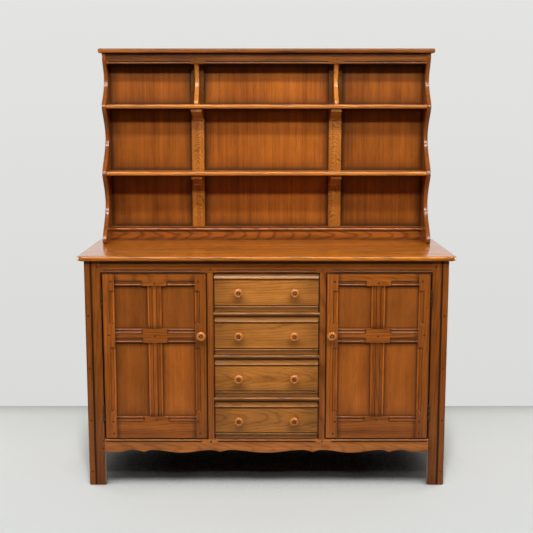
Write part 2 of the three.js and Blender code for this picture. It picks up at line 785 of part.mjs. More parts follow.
function makeDrawer(index, group) {
  const drawer = new THREE.Group();
  drawer.position.set(0, 0, drawerBottoms[index]);
  group.add(drawer);
  const label = index + 1;
  const half = partitionInner - drawerSideGap;
  const frontHeight = drawerOpening - drawerEdgeGap * 2;
  const front = alongX(drawerFrontOutline(frontHeight).reverse(), -half, half);
  front.translate(0, -drawerProud, drawerEdgeGap);
  named(`drawer_front_${label}`, front, elmLight, drawer);
  const boxHalf = half - drawerBoxInset;
  const y0 = drawerFrontThickness - drawerProud + fit;
  const y1 = backFace - drawerBackGap;
  const z0 = drawerRide;
  const z1 = drawerOpening - drawerHeadroom;
  const side = drawerSideThickness;
  const shell = solidOf(board(-boxHalf, boxHalf, y0, y1, z0, z1));
  const floor = z0 + drawerBottomRise;
  const inside = board(-boxHalf + side, boxHalf - side, y0 + side, y1 - side,
    floor + drawerBottomThickness, z1 + overrun);
  const under = board(-boxHalf + side, boxHalf - side, y0 + side, y1 - side, z0 - overrun, floor);
  named(`drawer_box_${label}`, geometryOf(cutAway(shell, [inside, under])), drawerWood, drawer);
  const knobHeight = drawerOpening / 2 + knobRise / 2;
  makeKnob(`drawer_knob_left_${label}`, -drawerKnobSpacing / 2, -drawerProud, knobHeight, drawer);
  makeKnob(`drawer_knob_right_${label}`, drawerKnobSpacing / 2, -drawerProud, knobHeight, drawer);
}

// Plate rack, in a frame of its own: y = 0 is its back, z = 0 the worktop.

const rackTop = rackHeight - corniceThickness;
const rackOuter = worktopWidth / 2 - rackInset;
const rackInner = rackOuter - rackSideThickness;
const lowerBulgeHeight = lowerShelfTop - shelfThickness / 2;
const upperBulgeHeight = upperShelfTop - shelfThickness / 2;
const topBulgeHeight = rackTop - rackTopStraight;
const lowerShelfDepth = rackLowerBulge - shelfSetback;
const upperShelfDepth = rackUpperBulge - shelfSetback;
const rackPanelFace = -rackBackThickness;
const rackFrameFace = rackPanelFace - rackFrameThickness;

function waistBetween(lower, upper) {
  return lower + (upper - lower) * waistHeightShare;
}

const scallops = [
  [rackFootRadius, rackFootDepth],
  [waistBetween(rackFootRadius, lowerBulgeHeight), rackLowerWaist],
  [lowerBulgeHeight, rackLowerBulge],
  [waistBetween(lowerBulgeHeight, upperBulgeHeight), rackMiddleWaist],
  [upperBulgeHeight, rackUpperBulge],
  [waistBetween(upperBulgeHeight, topBulgeHeight), rackUpperWaist],
  [topBulgeHeight, rackTopDepth],
];

// Depth of the scalloped edge at a height: half a cosine wave from each bulge to
// each waist, with its steep part pulled toward the bulge.
function scallopDepth(height) {
  const last = scallops.length - 1;
  if (height <= scallops[0][0]) return scallops[0][1];
  if (height >= scallops[last][0]) return scallops[last][1];
  const i = scallops.findIndex(([z], k) => k > 0 && height <= z);
  const [z0, d0] = scallops[i - 1];
  const [z1, d1] = scallops[i];
  const t = (height - z0) / (z1 - z0);
  const fromBulge = d0 > d1 ? t : 1 - t;
  const wave = (1 + Math.cos(Math.PI * fromBulge ** scallopPull)) / 2;
  return Math.min(d0, d1) + Math.abs(d0 - d1) * wave;
}

// The scalloped edge from one height to another, as (y, z) points.
function scallopEdge(from, to) {
  const turns = scallops.map(([z]) => z).filter((z) => z > from && z < to);
  const marks = [from, ...turns, to];
  const points = [[-scallopDepth(from), from]];
  for (let i = 1; i < marks.length; i += 1) {
    for (let k = 1; k <= scallopSteps; k += 1) {
      const z = marks[i - 1] + ((marks[i] - marks[i - 1]) * k) / scallopSteps;
      points.push([-scallopDepth(z), z]);
    }
  }
  return points;
}

function makeRackSide(side, suffix, group) {
  const foot = arcPoints(-rackFootDepth + rackFootRadius, rackFootRadius, rackFootRadius,
    Math.PI * 1.5, Math.PI, roundSteps);
  const edge = scallopEdge(rackFootRadius, topBulgeHeight).slice(1);
  const outline = [
    [0, fit],
    [0, rackTop - fit],
    [-rackTopDepth, rackTop - fit],
    ...edge.reverse(),
    ...foot.reverse(),
    [-rackFootDepth + rackFootRadius, fit],
  ];
  const inner = side * rackInner;
  const outer = side * rackOuter;
  const geometry = alongX(outline, Math.min(inner, outer), Math.max(inner, outer));
  named(`rack_side_${suffix}`, geometry, elm, group);
}

function makeCornice(group) {
  const width = (rackOuter + corniceOverhang) * 2;
  const depth = rackTopDepth + corniceOverhang;
  const slab = nosedSlab(width, depth, corniceThickness, corniceNose, corniceCornerRadius);
  const mesh = named('rack_top_board', slab, elmDark, group);
  mesh.position.set(0, 0, rackTop);
}

function makeFrieze(group) {
  const half = rackInner - fit;
  const front = -rackTopDepth + friezeSetback;
  const bottom = rackTop - fit - friezeHeight;
  const face = board(-half, half, front, front + friezeThickness, bottom, rackTop - fit);
  const stopAt = uprightCentre - dividerThickness / 2;
  const stopTo = uprightCentre + dividerThickness / 2;
  const runs = [[-half, -stopTo, true, true], [-stopAt, stopAt, true, true], [stopTo, half, true, true]];
  const quirks = railQuirks(bottom, true, runs).map((cutter) => cutter.translate(0, front, 0));
  named('rack_frieze', geometryOf(cutAway(solidOf(face), quirks)), elmDark, group);
}

// A shelf with a rounded nose, notched round the back muntins.
function makeRackShelf(name, top, depth, group) {
  const half = rackInner - fit;
  const bottom = top - shelfThickness;
  const r = shelfNose;
  const outline = [
    [rackPanelFace - fit, bottom],
    [rackPanelFace - fit, top],
    [-depth + r, top],
    ...arcPoints(-depth + r, top - r, r, Math.PI / 2, Math.PI, nosingSteps),
    [-depth, bottom + r],
    ...arcPoints(-depth + r, bottom + r, r, Math.PI, Math.PI * 1.5, nosingSteps),
  ].reverse();
  const plank = solidOf(alongX(outline, -half, half));
  const notches = [-1, 1].map((side) => {
    const x = side * uprightCentre;
    const reach = rackMuntinWidth / 2 + fit;
    return board(x - reach, x + reach, rackFrameFace - fit, overrun, bottom - overrun, top + overrun);
  });
  named(name, geometryOf(cutAway(plank, notches)), elmLight, group);
}

// A divider stands on the upper shelf under the frieze, in front of the muntin.
function makeDivider(side, suffix, group) {
  const bottom = upperShelfTop + fit;
  const top = rackTop - fit - friezeHeight - fit;
  const edge = scallopEdge(bottom, top).map(([y, z]) => [Math.max(y, -upperShelfDepth + shelfNose), z]);
  const outline = [[rackFrameFace - fit, bottom], [rackFrameFace - fit, top], ...edge.reverse()];
  const x = side * uprightCentre;
  const geometry = alongX(outline.reverse(), x - dividerThickness / 2, x + dividerThickness / 2);
  named(`rack_divider_${suffix}`, geometry, elm, group);
}

// A bracket under a shelf: a thin tip rounded at its upper front, and a hollow curve (a parabola)
// from there down and back to the muntin.
function bracketOutline(shelfBottom, shelfDepth) {
  const top = shelfBottom - fit;
  const front = -shelfDepth + bracketSetback;
  const r = bracketTopRadius;
  const reach = rackFrameFace - front;
  const drop = bracketHeight - bracketTipHeight;
  const sweep = Array.from({ length: sweepSteps + 1 }, (_, k) => {
    const t = k / sweepSteps;
    return [
      rackFrameFace - bracketLip - (reach - bracketLip) * (1 - t) ** 2,
      top - bracketTipHeight - drop * t,
    ];
  });
  return [
    [rackFrameFace + overrun, top - bracketHeight],
    [rackFrameFace + overrun, top],
    [front + r, top],
    ...arcPoints(front + r, top - r, r, Math.PI / 2, Math.PI, nosingSteps),
    ...sweep,
  ];
}

function makeRackMuntin(side, suffix, group) {
  const x = side * uprightCentre;
  const strip = board(x - rackMuntinWidth / 2, x + rackMuntinWidth / 2, rackFrameFace, rackPanelFace - fit,
    plinthHeight + fit * 2, rackTop - fit);
  const shelves = [[lowerShelfTop, lowerShelfDepth], [upperShelfTop, upperShelfDepth]];
  const brackets = shelves.map(([top, depth]) => alongX(bracketOutline(top - shelfThickness, depth).reverse(),
    x - bracketWidth / 2, x + bracketWidth / 2));
  named(`rack_muntin_${suffix}`, geometryOf(joined([strip, ...brackets])), elmLight, group);
}

function makeRackBack(group) {
  const half = rackInner - fit;
  named('rack_back', board(-half, half, rackPanelFace, 0, fit, rackTop - fit), panelElm, group);
}

// The plinth rail stands on the worktop between the sides, with a bead below its top arris.
function makePlinthRail(group) {
  const top = plinthHeight + fit;
  const beadTop = top - plinthArris - plinthQuirk;
  const beadMiddle = beadTop - plinthBead / 2;
  const bead = arcPoints(0, beadMiddle, plinthBead / 2, Math.PI / 2, Math.PI * 1.5, beadSteps)
    .map(([y, z]) => [y * plinthBeadShare, z]);
  const front = rackFrameFace;
  const outline = [
    [rackPanelFace - fit, fit],
    [rackPanelFace - fit, top],
    [front + plinthQuirk, top],
    [front + plinthQuirk, top - plinthArris],
    [front + plinthQuirk * 2, beadTop],
    ...bead.map(([y, z]) => [front + plinthQuirk + y, z]),
    [front + plinthQuirk * 2, beadTop - plinthBead - plinthQuirk / 2],
    [front, beadTop - plinthBead - plinthQuirk],
    [front, fit],
  ];
  const half = rackInner - fit;
  named('rack_plinth_rail', alongX(outline.reverse(), -half, half), elmLight, group);
}

// Assembly

const dresser = new THREE.Group();

const base = new THREE.Group();
base.position.set(0, baseFront, 0);
dresser.add(base);

const rack = new THREE.Group();
rack.position.set(0, worktopBack, worktopHeight);
dresser.add(rack);

const sides = [[-1, 'left'], [1, 'right']];

makeWorktop(base);
makeFrontTopRail(base);
makeApron(base);
makeDrawerRails(base);
makeBaseFloor(base);
makeBaseBack(base);
for (const [side, suffix] of sides) {
  makeSideFrame(side, suffix, base);
  makeFrontStile(side, `front_stile_${suffix}`, base);
  makePartition(side, suffix, base);
  makeCupboardShelf(side, suffix, base);
  makeDoor(side, suffix, base);
  makeHinge(side, doorTop - hingeTopInset, `${suffix}_upper`, base);
  makeHinge(side, doorBottom + hingeBottomInset, `${suffix}_lower`, base);
}
for (let i = 0; i < drawerCount; i += 1) makeDrawer(i, base);

makeCornice(rack);
makeFrieze(rack);
makeRackShelf('rack_shelf_lower', lowerShelfTop, lowerShelfDepth, rack);
makeRackShelf('rack_shelf_upper', upperShelfTop, upperShelfDepth, rack);
makeRackBack(rack);
makePlinthRail(rack);
for (const [side, suffix] of sides) {
  makeRackSide(side, suffix, rack);
  makeDivider(side, suffix, rack);
  makeRackMuntin(side, suffix, rack);
}

export default dresser;
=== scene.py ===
"""Looks of a joined elm dresser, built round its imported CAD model.

Every moulded, shaped or turned piece is worked out again as a fine surface in the place of its
CAD node. Plain hidden boards keep their CAD mesh and get a finish. Shapes are in millimetres
until they become a mesh.
"""

import logging
import math
from dataclasses import dataclass, field, replace
from enum import Enum
from typing import Iterable

import bmesh
import bpy
import numpy as np
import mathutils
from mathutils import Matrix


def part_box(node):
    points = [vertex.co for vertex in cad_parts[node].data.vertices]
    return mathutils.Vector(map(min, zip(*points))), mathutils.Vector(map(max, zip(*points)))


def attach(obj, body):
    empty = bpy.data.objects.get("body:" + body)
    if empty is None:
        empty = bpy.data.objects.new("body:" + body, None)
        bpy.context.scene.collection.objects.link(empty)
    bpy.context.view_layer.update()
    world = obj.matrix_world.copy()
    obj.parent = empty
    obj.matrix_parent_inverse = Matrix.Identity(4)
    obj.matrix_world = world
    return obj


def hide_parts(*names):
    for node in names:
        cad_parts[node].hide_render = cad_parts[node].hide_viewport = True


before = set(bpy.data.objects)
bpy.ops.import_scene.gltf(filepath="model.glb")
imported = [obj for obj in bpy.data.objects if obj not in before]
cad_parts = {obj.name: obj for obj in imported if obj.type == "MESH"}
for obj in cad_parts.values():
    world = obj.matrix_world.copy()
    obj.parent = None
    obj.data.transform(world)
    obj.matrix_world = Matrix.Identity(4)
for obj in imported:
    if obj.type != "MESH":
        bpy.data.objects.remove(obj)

MM = 0.001
HAIR = 0.02  # width of the steep step where a moulding ends square, in mm
CLEAR = 0.2  # gap that the CAD model keeps between neighbours, in mm
ARRIS = 0.8  # usual radius of an eased arris, in mm
WELD = 2e-6  # points nearer than this become one, in metres
SHARP = math.radians(34)  # steeper edges than this aren't shaded smooth
Array = np.ndarray
Colour = tuple[float, float, float]
Vector = tuple[float, float, float]
X_AXIS, Y_AXIS, Z_AXIS = (1.0, 0.0, 0.0), (0.0, 1.0, 0.0), (0.0, 0.0, 1.0)
FRONTWARD = (0.0, -1.0, 0.0)
log = logging.getLogger("dresser")


# Places and grain


class Side(Enum):
    """A side of the dresser, with the sign of its x."""

    LEFT = -1
    RIGHT = 1

    def of(self, stem: str) -> str:
        """The name of this side's node."""
        return f"{stem}_{self.name.lower()}"


class Place:
    """The box of a CAD node, in millimetres."""

    def __init__(self, node: str) -> None:
        """Reads the box of the node."""
        self.low, self.high = (np.array(corner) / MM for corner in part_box(node))
        self.middle = (self.low + self.high) / 2


class Cut(Enum):
    """How a board was sawn: how far the tree's heart lies behind the face and beside it, in mm,
    and how fast its rings widen along the tree."""

    CROWN = (48.0, 7.0, 0.085)
    PEAKED = (34.0, 6.0, 0.42)
    RIFT = (75.0, 60.0, 0.03)
    QUARTER = (15.0, 210.0, 0.03)


@dataclass(frozen=True)
class Plank:
    """The grain that a board shows.

    Attributes:
        along: Direction of the grain.
        heart: A point on the heart line of the tree, in mm.
        tone: Share of the finish's own lightness.
        cone: How fast the rings widen along the tree.
    """

    along: Vector
    heart: Vector
    tone: float = 1.0
    cone: float = 0.045


def sawn(cut: Cut, along: Vector, face: Vector, centre: Iterable[float], seed: int,
         tone: float = 1.0) -> Plank:
    """Makes a plank with its heart behind the face and beside its middle, a little off by a seeded draw.

    Args:
        cut: How the board was sawn.
        along: Direction of its length.
        face: Direction its best face looks to.
        centre: Middle of that face, in mm.
        seed: Picks the draw, so that no two boards match.
        tone: Share of the finish's own lightness.

    Returns:
        The plank.
    """
    draw = np.random.default_rng(seed)
    behind, beside, cone = cut.value
    across = np.cross(along, face) * (1 if draw.random() < 0.5 else -1)
    heart = (np.array(list(centre)) - np.array(face) * behind * draw.uniform(0.8, 1.3)
             + across * beside * draw.uniform(0.5, 1.4) + np.array(along) * draw.uniform(-400, 400))
    return Plank(tuple(along), tuple(heart), tone * draw.uniform(0.95, 1.05), cone)


# Surfaces


@dataclass(frozen=True)
class Tag:
    """What a piece is.

    Attributes:
        name: What it is called.
        slot: Material slot of the record; not used.
        material: Its finish.
        nodes: CAD nodes that it stands for, of which the first gives its place.
        body: CAD body it rides on.
    """

    name: str
    slot: str
    material: bpy.types.Material
    nodes: tuple[str, ...] = ()
    body: str = "dresser"

    @property
    def place(self) -> Place:
        """The box of its first node."""
        return Place(self.nodes[0])


def stand_in(node: str, slot: str, material: bpy.types.Material, work: str = "board",
             body: str = "dresser") -> Tag:
    """The tag of a piece that is called after the node it stands for and after its kind of work."""
    return Tag(f"{node}_{work}", slot, material, (node,), body)


@dataclass
class Skin:
    """Closed surfaces that make up one piece, with what each face and point carries.

    Attributes:
        points: Arrays of points, in mm.
        faces: Lists of corner numbers, one list to a face.
        planks: The plank of each face.
        stains_and_shade: Arrays with the share of dark stain and painted shade at each point.
    """

    points: list[Array] = field(default_factory=list)
    faces: list[list[int]] = field(default_factory=list)
    planks: list[Plank] = field(default_factory=list)
    stains_and_shade: list[Array] = field(default_factory=list)

    def add(self, points: Array, faces: list[list[int]], planks: list[Plank],
            stain: Array | float = 0.0) -> None:
        """Adds one closed surface.

        Args:
            points: Its points, one row each.
            faces: Its faces, numbered from its own first point.
            planks: One plank for each face.
            stain: Share of dark stain and painted shade at each point.
        """
        start = sum(len(p) for p in self.points)
        self.points.append(points)
        self.faces += [[start + corner for corner in face] for face in faces]
        self.planks += planks
        self.stains_and_shade.append(np.broadcast_to(stain, len(points)))

    def piece(self, tag: Tag) -> None:
        """Makes the object, on its body and in the place of its nodes.

        Args:
            tag: Says what the piece is.
        """
        mesh = bpy.data.meshes.new(tag.name)
        mesh.from_pydata(np.concatenate(self.points) * MM, [], self.faces)
        for key, unit in (("along", 1), ("heart", MM), ("tone", 1), ("cone", 1)):
            value = np.array([getattr(plank, key) for plank in self.planks], np.float32) * unit
            kind, field_name = ("FLOAT", "value") if value.ndim == 1 else ("FLOAT_VECTOR", "vector")
            grain = mesh.attributes.new(f"grain_{key}", kind, "FACE")
            grain.data.foreach_set(field_name, value.ravel())
        stain = mesh.attributes.new("stain", "FLOAT", "POINT")
        stain.data.foreach_set("value", np.concatenate(self.stains_and_shade).astype(np.float32))
        shell = bmesh.new()
        shell.from_mesh(mesh)
        bmesh.ops.delete(shell, geom=[v for v in shell.verts if not v.link_faces], context="VERTS")
        bmesh.ops.remove_doubles(shell, verts=shell.verts, dist=WELD)
        bmesh.ops.recalc_face_normals(shell, faces=shell.faces)
        shell.to_mesh(mesh)
        shell.free()
        mesh.shade_smooth()
        mesh.set_sharp_from_angle(angle=SHARP)
        mesh.materials.append(tag.material)
        made = bpy.data.objects.new(tag.name, mesh)
        bpy.context.scene.collection.objects.link(made)
        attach(made, tag.body)
        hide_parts(*tag.nodes)
        log.info("%s: %d faces on %s", tag.name, len(mesh.polygons), tag.body)


@dataclass(frozen=True)
class Face:
    """Where a board's face lies.

    Attributes:
        origin: A point on it.
        across: Direction across.
        up: Direction upward.
        into: Direction into the wood.
    """

    origin: Vector
    across: Vector = X_AXIS
    up: Vector = Z_AXIS
    into: Vector = Y_AXIS

    def at(self, a: Array, b: Array, depth: Array) -> Array:
        """Puts points on the face: the origin plus a across, b up and depth into the wood."""
        spread = [np.multiply.outer(v, np.array(d))
                  for v, d in ((a, self.across), (b, self.up), (depth, self.into))]
        return np.array(self.origin) + spread[0] + spread[1] + spread[2]


def lines(*groups: Iterable[float]) -> Array:
    """Sorts the grid lines of all groups and drops those nearer than half a hair to the last."""
    ordered = np.sort(np.concatenate([np.atleast_1d(g) for g in groups]).astype(float))
    return ordered[np.insert(np.diff(ordered) > HAIR / 2, 0, True)]


def grid(a: Array, b: Array) -> tuple[Array, Array]:
    """Both places of every crossing of the lines a and b, rows across and columns upward."""
    return tuple(np.meshgrid(a, b, indexing="ij"))


def between(turns: Array, count: int) -> Array:
    """Grid lines that divide each stretch from one turn to the next evenly."""
    return np.concatenate([np.linspace(a, b, count) for a, b in zip(turns[:-1], turns[1:])])


def middles(v: Array) -> Array:
    """Middles of the cells of a grid."""
    return (v[:-1, :-1] + v[1:, 1:]) / 2


def margin(v: Array, low: float, high: float) -> Array:
    """Distance from the nearer of two limits."""
    return np.minimum(v - low, high - v)


def solid(a: Array, b: Array, holes: Iterable[tuple[float, float, float, float]]) -> Array:
    """Finds the cells of a grid that are wood: those whose middle lies in none of the holes.

    Args:
        a: Place of each grid point across.
        b: Its place upward.
        holes: Each a hole's limits (a0, a1, b0, b1).

    Returns:
        For each cell, whether there is wood.
    """
    ca, cb = middles(a), middles(b)
    kept = np.ones_like(ca, bool)
    for a0, a1, b0, b1 in holes:
        kept &= ~((ca > a0) & (ca < a1) & (cb > b0) & (cb < b1))
    return kept


def arris(edge: float, inward: float, radius: float, steps: int = 4) -> Array:
    """Grid lines across a rounded arris, spaced by equal angles from the edge inward."""
    turn = np.linspace(0, math.pi / 2, steps + 1)
    return edge + inward * radius * (1 - np.cos(turn))


def ends(low: float, high: float, radius: float, steps: int = 4) -> Array:
    """Grid lines across the rounded arrises at both ends of a board."""
    return np.concatenate([arris(low, 1, radius, steps), arris(high, -1, radius, steps)])


def rounded(distance: Array, radius: float) -> Array:
    """Depth of a rounded arris at a distance from the edge: radius less the height of its arc."""
    gap = radius - np.clip(distance, 0, radius)
    return radius - np.sqrt(np.maximum(radius**2 - gap**2, 0))


def two_sheets(skin: Skin, front: Array, back: Array, planks: list[Plank], stain: Array | float = 0.0,
               keep: Array | bool = True, owner: Array | int = 0) -> None:
    """Adds a solid between two sheets on one grid, walled where a kept cell meets an empty one.

    Args:
        skin: Takes the solid.
        front: Points of the front sheet, rows by columns by three.
        back: Points of the back sheet.
        planks: The planks.
        stain: Share of dark stain and painted shade at each point of the front sheet.
        keep: For each cell, whether there is wood.
        owner: For each cell, the number of its plank.
    """
    rows, columns = front.shape[:2]
    keep, owner = (np.broadcast_to(v, (rows - 1, columns - 1)) for v in (keep, owner))
    near = np.arange(rows * columns).reshape(rows, columns)
    far = near + rows * columns
    i, j = np.nonzero(keep)
    quads = [np.stack([near[i, j], near[i + 1, j], near[i + 1, j + 1], near[i, j + 1]], 1),
             np.stack([far[i, j], far[i, j + 1], far[i + 1, j + 1], far[i + 1, j]], 1)]
    owners = [owner[i, j], owner[i, j]]
    ring = np.pad(keep, 1).astype(int)
    step = ring[1:, 1:-1] - ring[:-1, 1:-1]
    i, j = np.nonzero(step)
    quads.append(np.stack([near[i, j], near[i, j + 1], far[i, j + 1], far[i, j]], 1))
    owners.append(owner[np.where(step[i, j] > 0, i, i - 1), j])
    step = ring[1:-1, 1:] - ring[1:-1, :-1]
    i, j = np.nonzero(step)
    quads.append(np.stack([near[i, j], near[i + 1, j], far[i + 1, j], far[i, j]], 1))
    owners.append(owner[i, np.where(step[i, j] > 0, j, j - 1)])
    points = np.concatenate([front.reshape(-1, 3), back.reshape(-1, 3)])
    dark = np.broadcast_to(stain, (rows, columns)).ravel()
    skin.add(points, np.concatenate(quads).tolist(), [planks[k] for k in np.concatenate(owners)],
             np.concatenate([dark, dark * 0]))


def rings(skin: Skin, loops: Array, plank: Plank, stain: Array | float = 0.0) -> None:
    """Adds a closed solid from closed loops of equal length, with a cap on the first and the last.

    Args:
        skin: Takes the solid.
        loops: Points, loops by points of a loop by three.
        plank: Its plank.
        stain: Share of dark stain and painted shade for each loop.
    """
    count, size = loops.shape[:2]
    index = np.arange(count * size).reshape(count, size)
    after = np.roll(index, -1, axis=1)
    quads = np.stack([index[:-1], index[1:], after[1:], after[:-1]], 2).reshape(-1, 4)
    faces = quads.tolist() + [index[0].tolist(), index[-1].tolist()]
    dark = np.repeat(np.broadcast_to(stain, count), size)
    skin.add(loops.reshape(-1, 3), faces, [plank] * len(faces), dark)


def turned(skin: Skin, radii: Array, reaches: Array, seat: Vector, plank: Plank, sides: int,
           stain: Array | float = 0.0) -> None:
    """Adds a turned solid that stands out toward the front: radius r at angle t gives
    (r cos t, -reach, r sin t) from the seat.

    Args:
        skin: Takes the solid.
        radii: Radius of each ring.
        reaches: How far each ring stands out from the seat.
        seat: Middle of the foot of the solid.
        plank: Its plank.
        sides: Number of points to a ring.
        stain: Share of dark stain and painted shade for each ring.
    """
    turn = np.linspace(0, 2 * math.pi, sides, endpoint=False)
    loops = np.stack([np.outer(radii, np.cos(turn)), np.outer(-reaches, np.ones(sides)),
                      np.outer(radii, np.sin(turn))], 2)
    rings(skin, loops + np.array(seat), plank, stain)


def plain_board(skin: Skin, low: Array, high: Array, plank: Plank, ease: float = ARRIS) -> None:
    """Adds a board between two corners, with all its long arrises eased.

    Args:
        skin: Takes the board.
        low: Lowest corner.
        high: Highest corner.
        plank: Its plank.
        ease: Radius of its arrises.
    """
    across, up = grid(*(lines(ends(low[k], high[k], ease, 3)) for k in (0, 2)))
    sunk = rounded(np.minimum(margin(across, low[0], high[0]), margin(up, low[2], high[2])), ease)
    two_sheets(skin, Face((0, low[1], 0)).at(across, up, sunk),
               Face((0, high[1], 0)).at(across, up, -sunk), [plank])


def faced_board(tag: Tag, a: Array, up: Array, sunk: Array, plank: Plank, stain: Array | float = 0.0) -> None:
    """Makes a board in the place of its node, with relief on its front and a plain back.

    Args:
        tag: Says what the piece is.
        a: Place of each grid point across.
        up: Its height.
        sunk: How deep the front lies there.
        plank: Its plank.
        stain: Share of dark stain and painted shade there.
    """
    skin = Skin()
    two_sheets(skin, Face((0, tag.place.low[1], 0)).at(a, up, sunk),
               Face((0, tag.place.high[1], 0)).at(a, up, 0 * a), [plank], stain)
    skin.piece(tag)


# Mouldings


@dataclass(frozen=True)
class RunIn:
    """How a stopped moulding starts: nothing up to the stop, then a ramp to its full depth.

    Attributes:
        stop: Distance from the end at which it starts.
        length: Length of the ramp.
        places: Places along the ramp, as shares of its length.
        shares: Share of the full depth at each of them.
    """

    stop: float
    length: float
    places: tuple[float, ...]
    shares: tuple[float, ...]

    def share(self, s: Array) -> Array:
        """Share of the full depth at a distance from the end."""
        return np.interp(s - self.stop, np.array(self.places) * self.length, self.shares)

    def marks(self, start: float, end: float) -> Array:
        """Grid lines along an edge on which a moulding starts so at either end."""
        run = self.stop + np.array(self.places) * self.length
        return np.concatenate([start + run, end - run])


@dataclass(frozen=True)
class FrameMoulding:
    """Quirk, cove and bead round the openings of a frame. Distances run from the panel into the board.

    Attributes:
        width: Where the quirk ends and the face starts.
        quirk_middle: Where the quirk is deepest.
        cove_start: Where the cove meets the quirk.
        quirk_depth: Depth of the quirk.
        lip: Depth of the edge between the cove and the quirk.
        bead_radius: Radius of the bead.
        bead_sink: Depth of the bead's top.
        cove_bend: Power that makes the cove hollow.
        run_in: How it starts from a corner where it is stopped.
    """

    width: float = 19.0
    quirk_middle: float = 17.7
    cove_start: float = 16.4
    quirk_depth: float = 2.6
    lip: float = 0.9
    bead_radius: float = 3.6
    bead_sink: float = 1.2
    cove_bend: float = 1.25
    run_in: RunIn = RunIn(18.0, 9.0, (0, 0.15, 0.35, 0.65, 1), (0, 0.36, 0.7, 0.92, 1))

    def marks(self) -> Array:
        """Distances at which the section needs a grid line."""
        bead = self.bead_radius * (1 - np.cos(np.linspace(0, math.pi, 9)))
        cove = np.linspace(2 * self.bead_radius, self.cove_start, 6)
        return np.concatenate([[0, HAIR], bead, cove, [self.quirk_middle, self.width, self.width + 1.5]])

    def depth(self, e: Array) -> Array:
        """Works out the depth of the section: an arc below the bead's top, then a bent fall from
        the lip of the cove, then the two flanks of the quirk.

        Args:
            e: Distance from the opening into the board.

        Returns:
            The depth, none beside the board.
        """
        r = self.bead_radius
        bead = self.bead_sink + r - np.sqrt(np.maximum(r**2 - (e - r) ** 2, 0))
        fall = np.clip((self.cove_start - e) / (self.cove_start - 2 * r), 0, 1)
        cove = self.lip + (self.bead_sink + r - self.lip) * (1 - (1 - fall) ** self.cove_bend)
        quirk = np.interp(e, [self.cove_start, self.quirk_middle, self.width],
                          [self.lip, self.quirk_depth, 0])
        return np.where(e < 2 * r, bead, np.where(e < self.cove_start, cove, quirk)) * (e >= 0)

    def stain(self, e: Array) -> Array:
        """Share of stain and painted shade in the hollows of the section."""
        marks = [0, 1.2, 3.6, 6, 7.2, 9, 15.4, 16.4, 17.7, 19, 20.5]
        return np.interp(e, marks, [0.6, 0.15, 0, 0.2, 0.75, 0.15, 0.1, 0.5, 1, 0.6, 0]) * (e >= 0)

    def fade(self, s: Array, length: float, stopped: tuple[bool, bool]) -> Array:
        """Works out the share of the full depth along an edge: none outside its ends, and a run-in
        from each end that is stopped.

        Args:
            s: Place along the edge.
            length: Length of the edge.
            stopped: Whether its start and its end are stopped.

        Returns:
            The share.
        """
        return np.minimum(*(self.run_in.share(place) if is_stopped else (place > -HAIR / 2).astype(float)
                            for place, is_stopped in zip((s, length - s), stopped)))


@dataclass(frozen=True)
class Opening:
    """An opening of a frame, and which ends of the moulding on each of its edges are stopped.

    Attributes:
        a0: Its lower limit across.
        a1: Its upper limit across.
        b0: Its lower limit upward.
        b1: Its upper limit upward.
        low: Stopped ends on the upright at its lower limit.
        high: Stopped ends on the upright at its upper limit.
        rail: Stopped ends on the rails below and above it.
    """

    a0: float
    a1: float
    b0: float
    b1: float
    low: tuple[bool, bool] = (True, True)
    high: tuple[bool, bool] = (True, True)
    rail: tuple[bool, bool] = (False, False)

    def edges(self, a: Array, b: Array) -> list[tuple[Array, Array, float, tuple[bool, bool]]]:
        """For each edge, the distance from it into the board, the place along it, its length and stops."""
        wide, tall = self.a1 - self.a0, self.b1 - self.b0
        return [(self.a0 - a, b - self.b0, tall, self.low), (a - self.a1, b - self.b0, tall, self.high),
                (b - self.b1, a - self.a0, wide, self.rail), (self.b0 - b, a - self.a0, wide, self.rail)]


MOULDING = FrameMoulding()


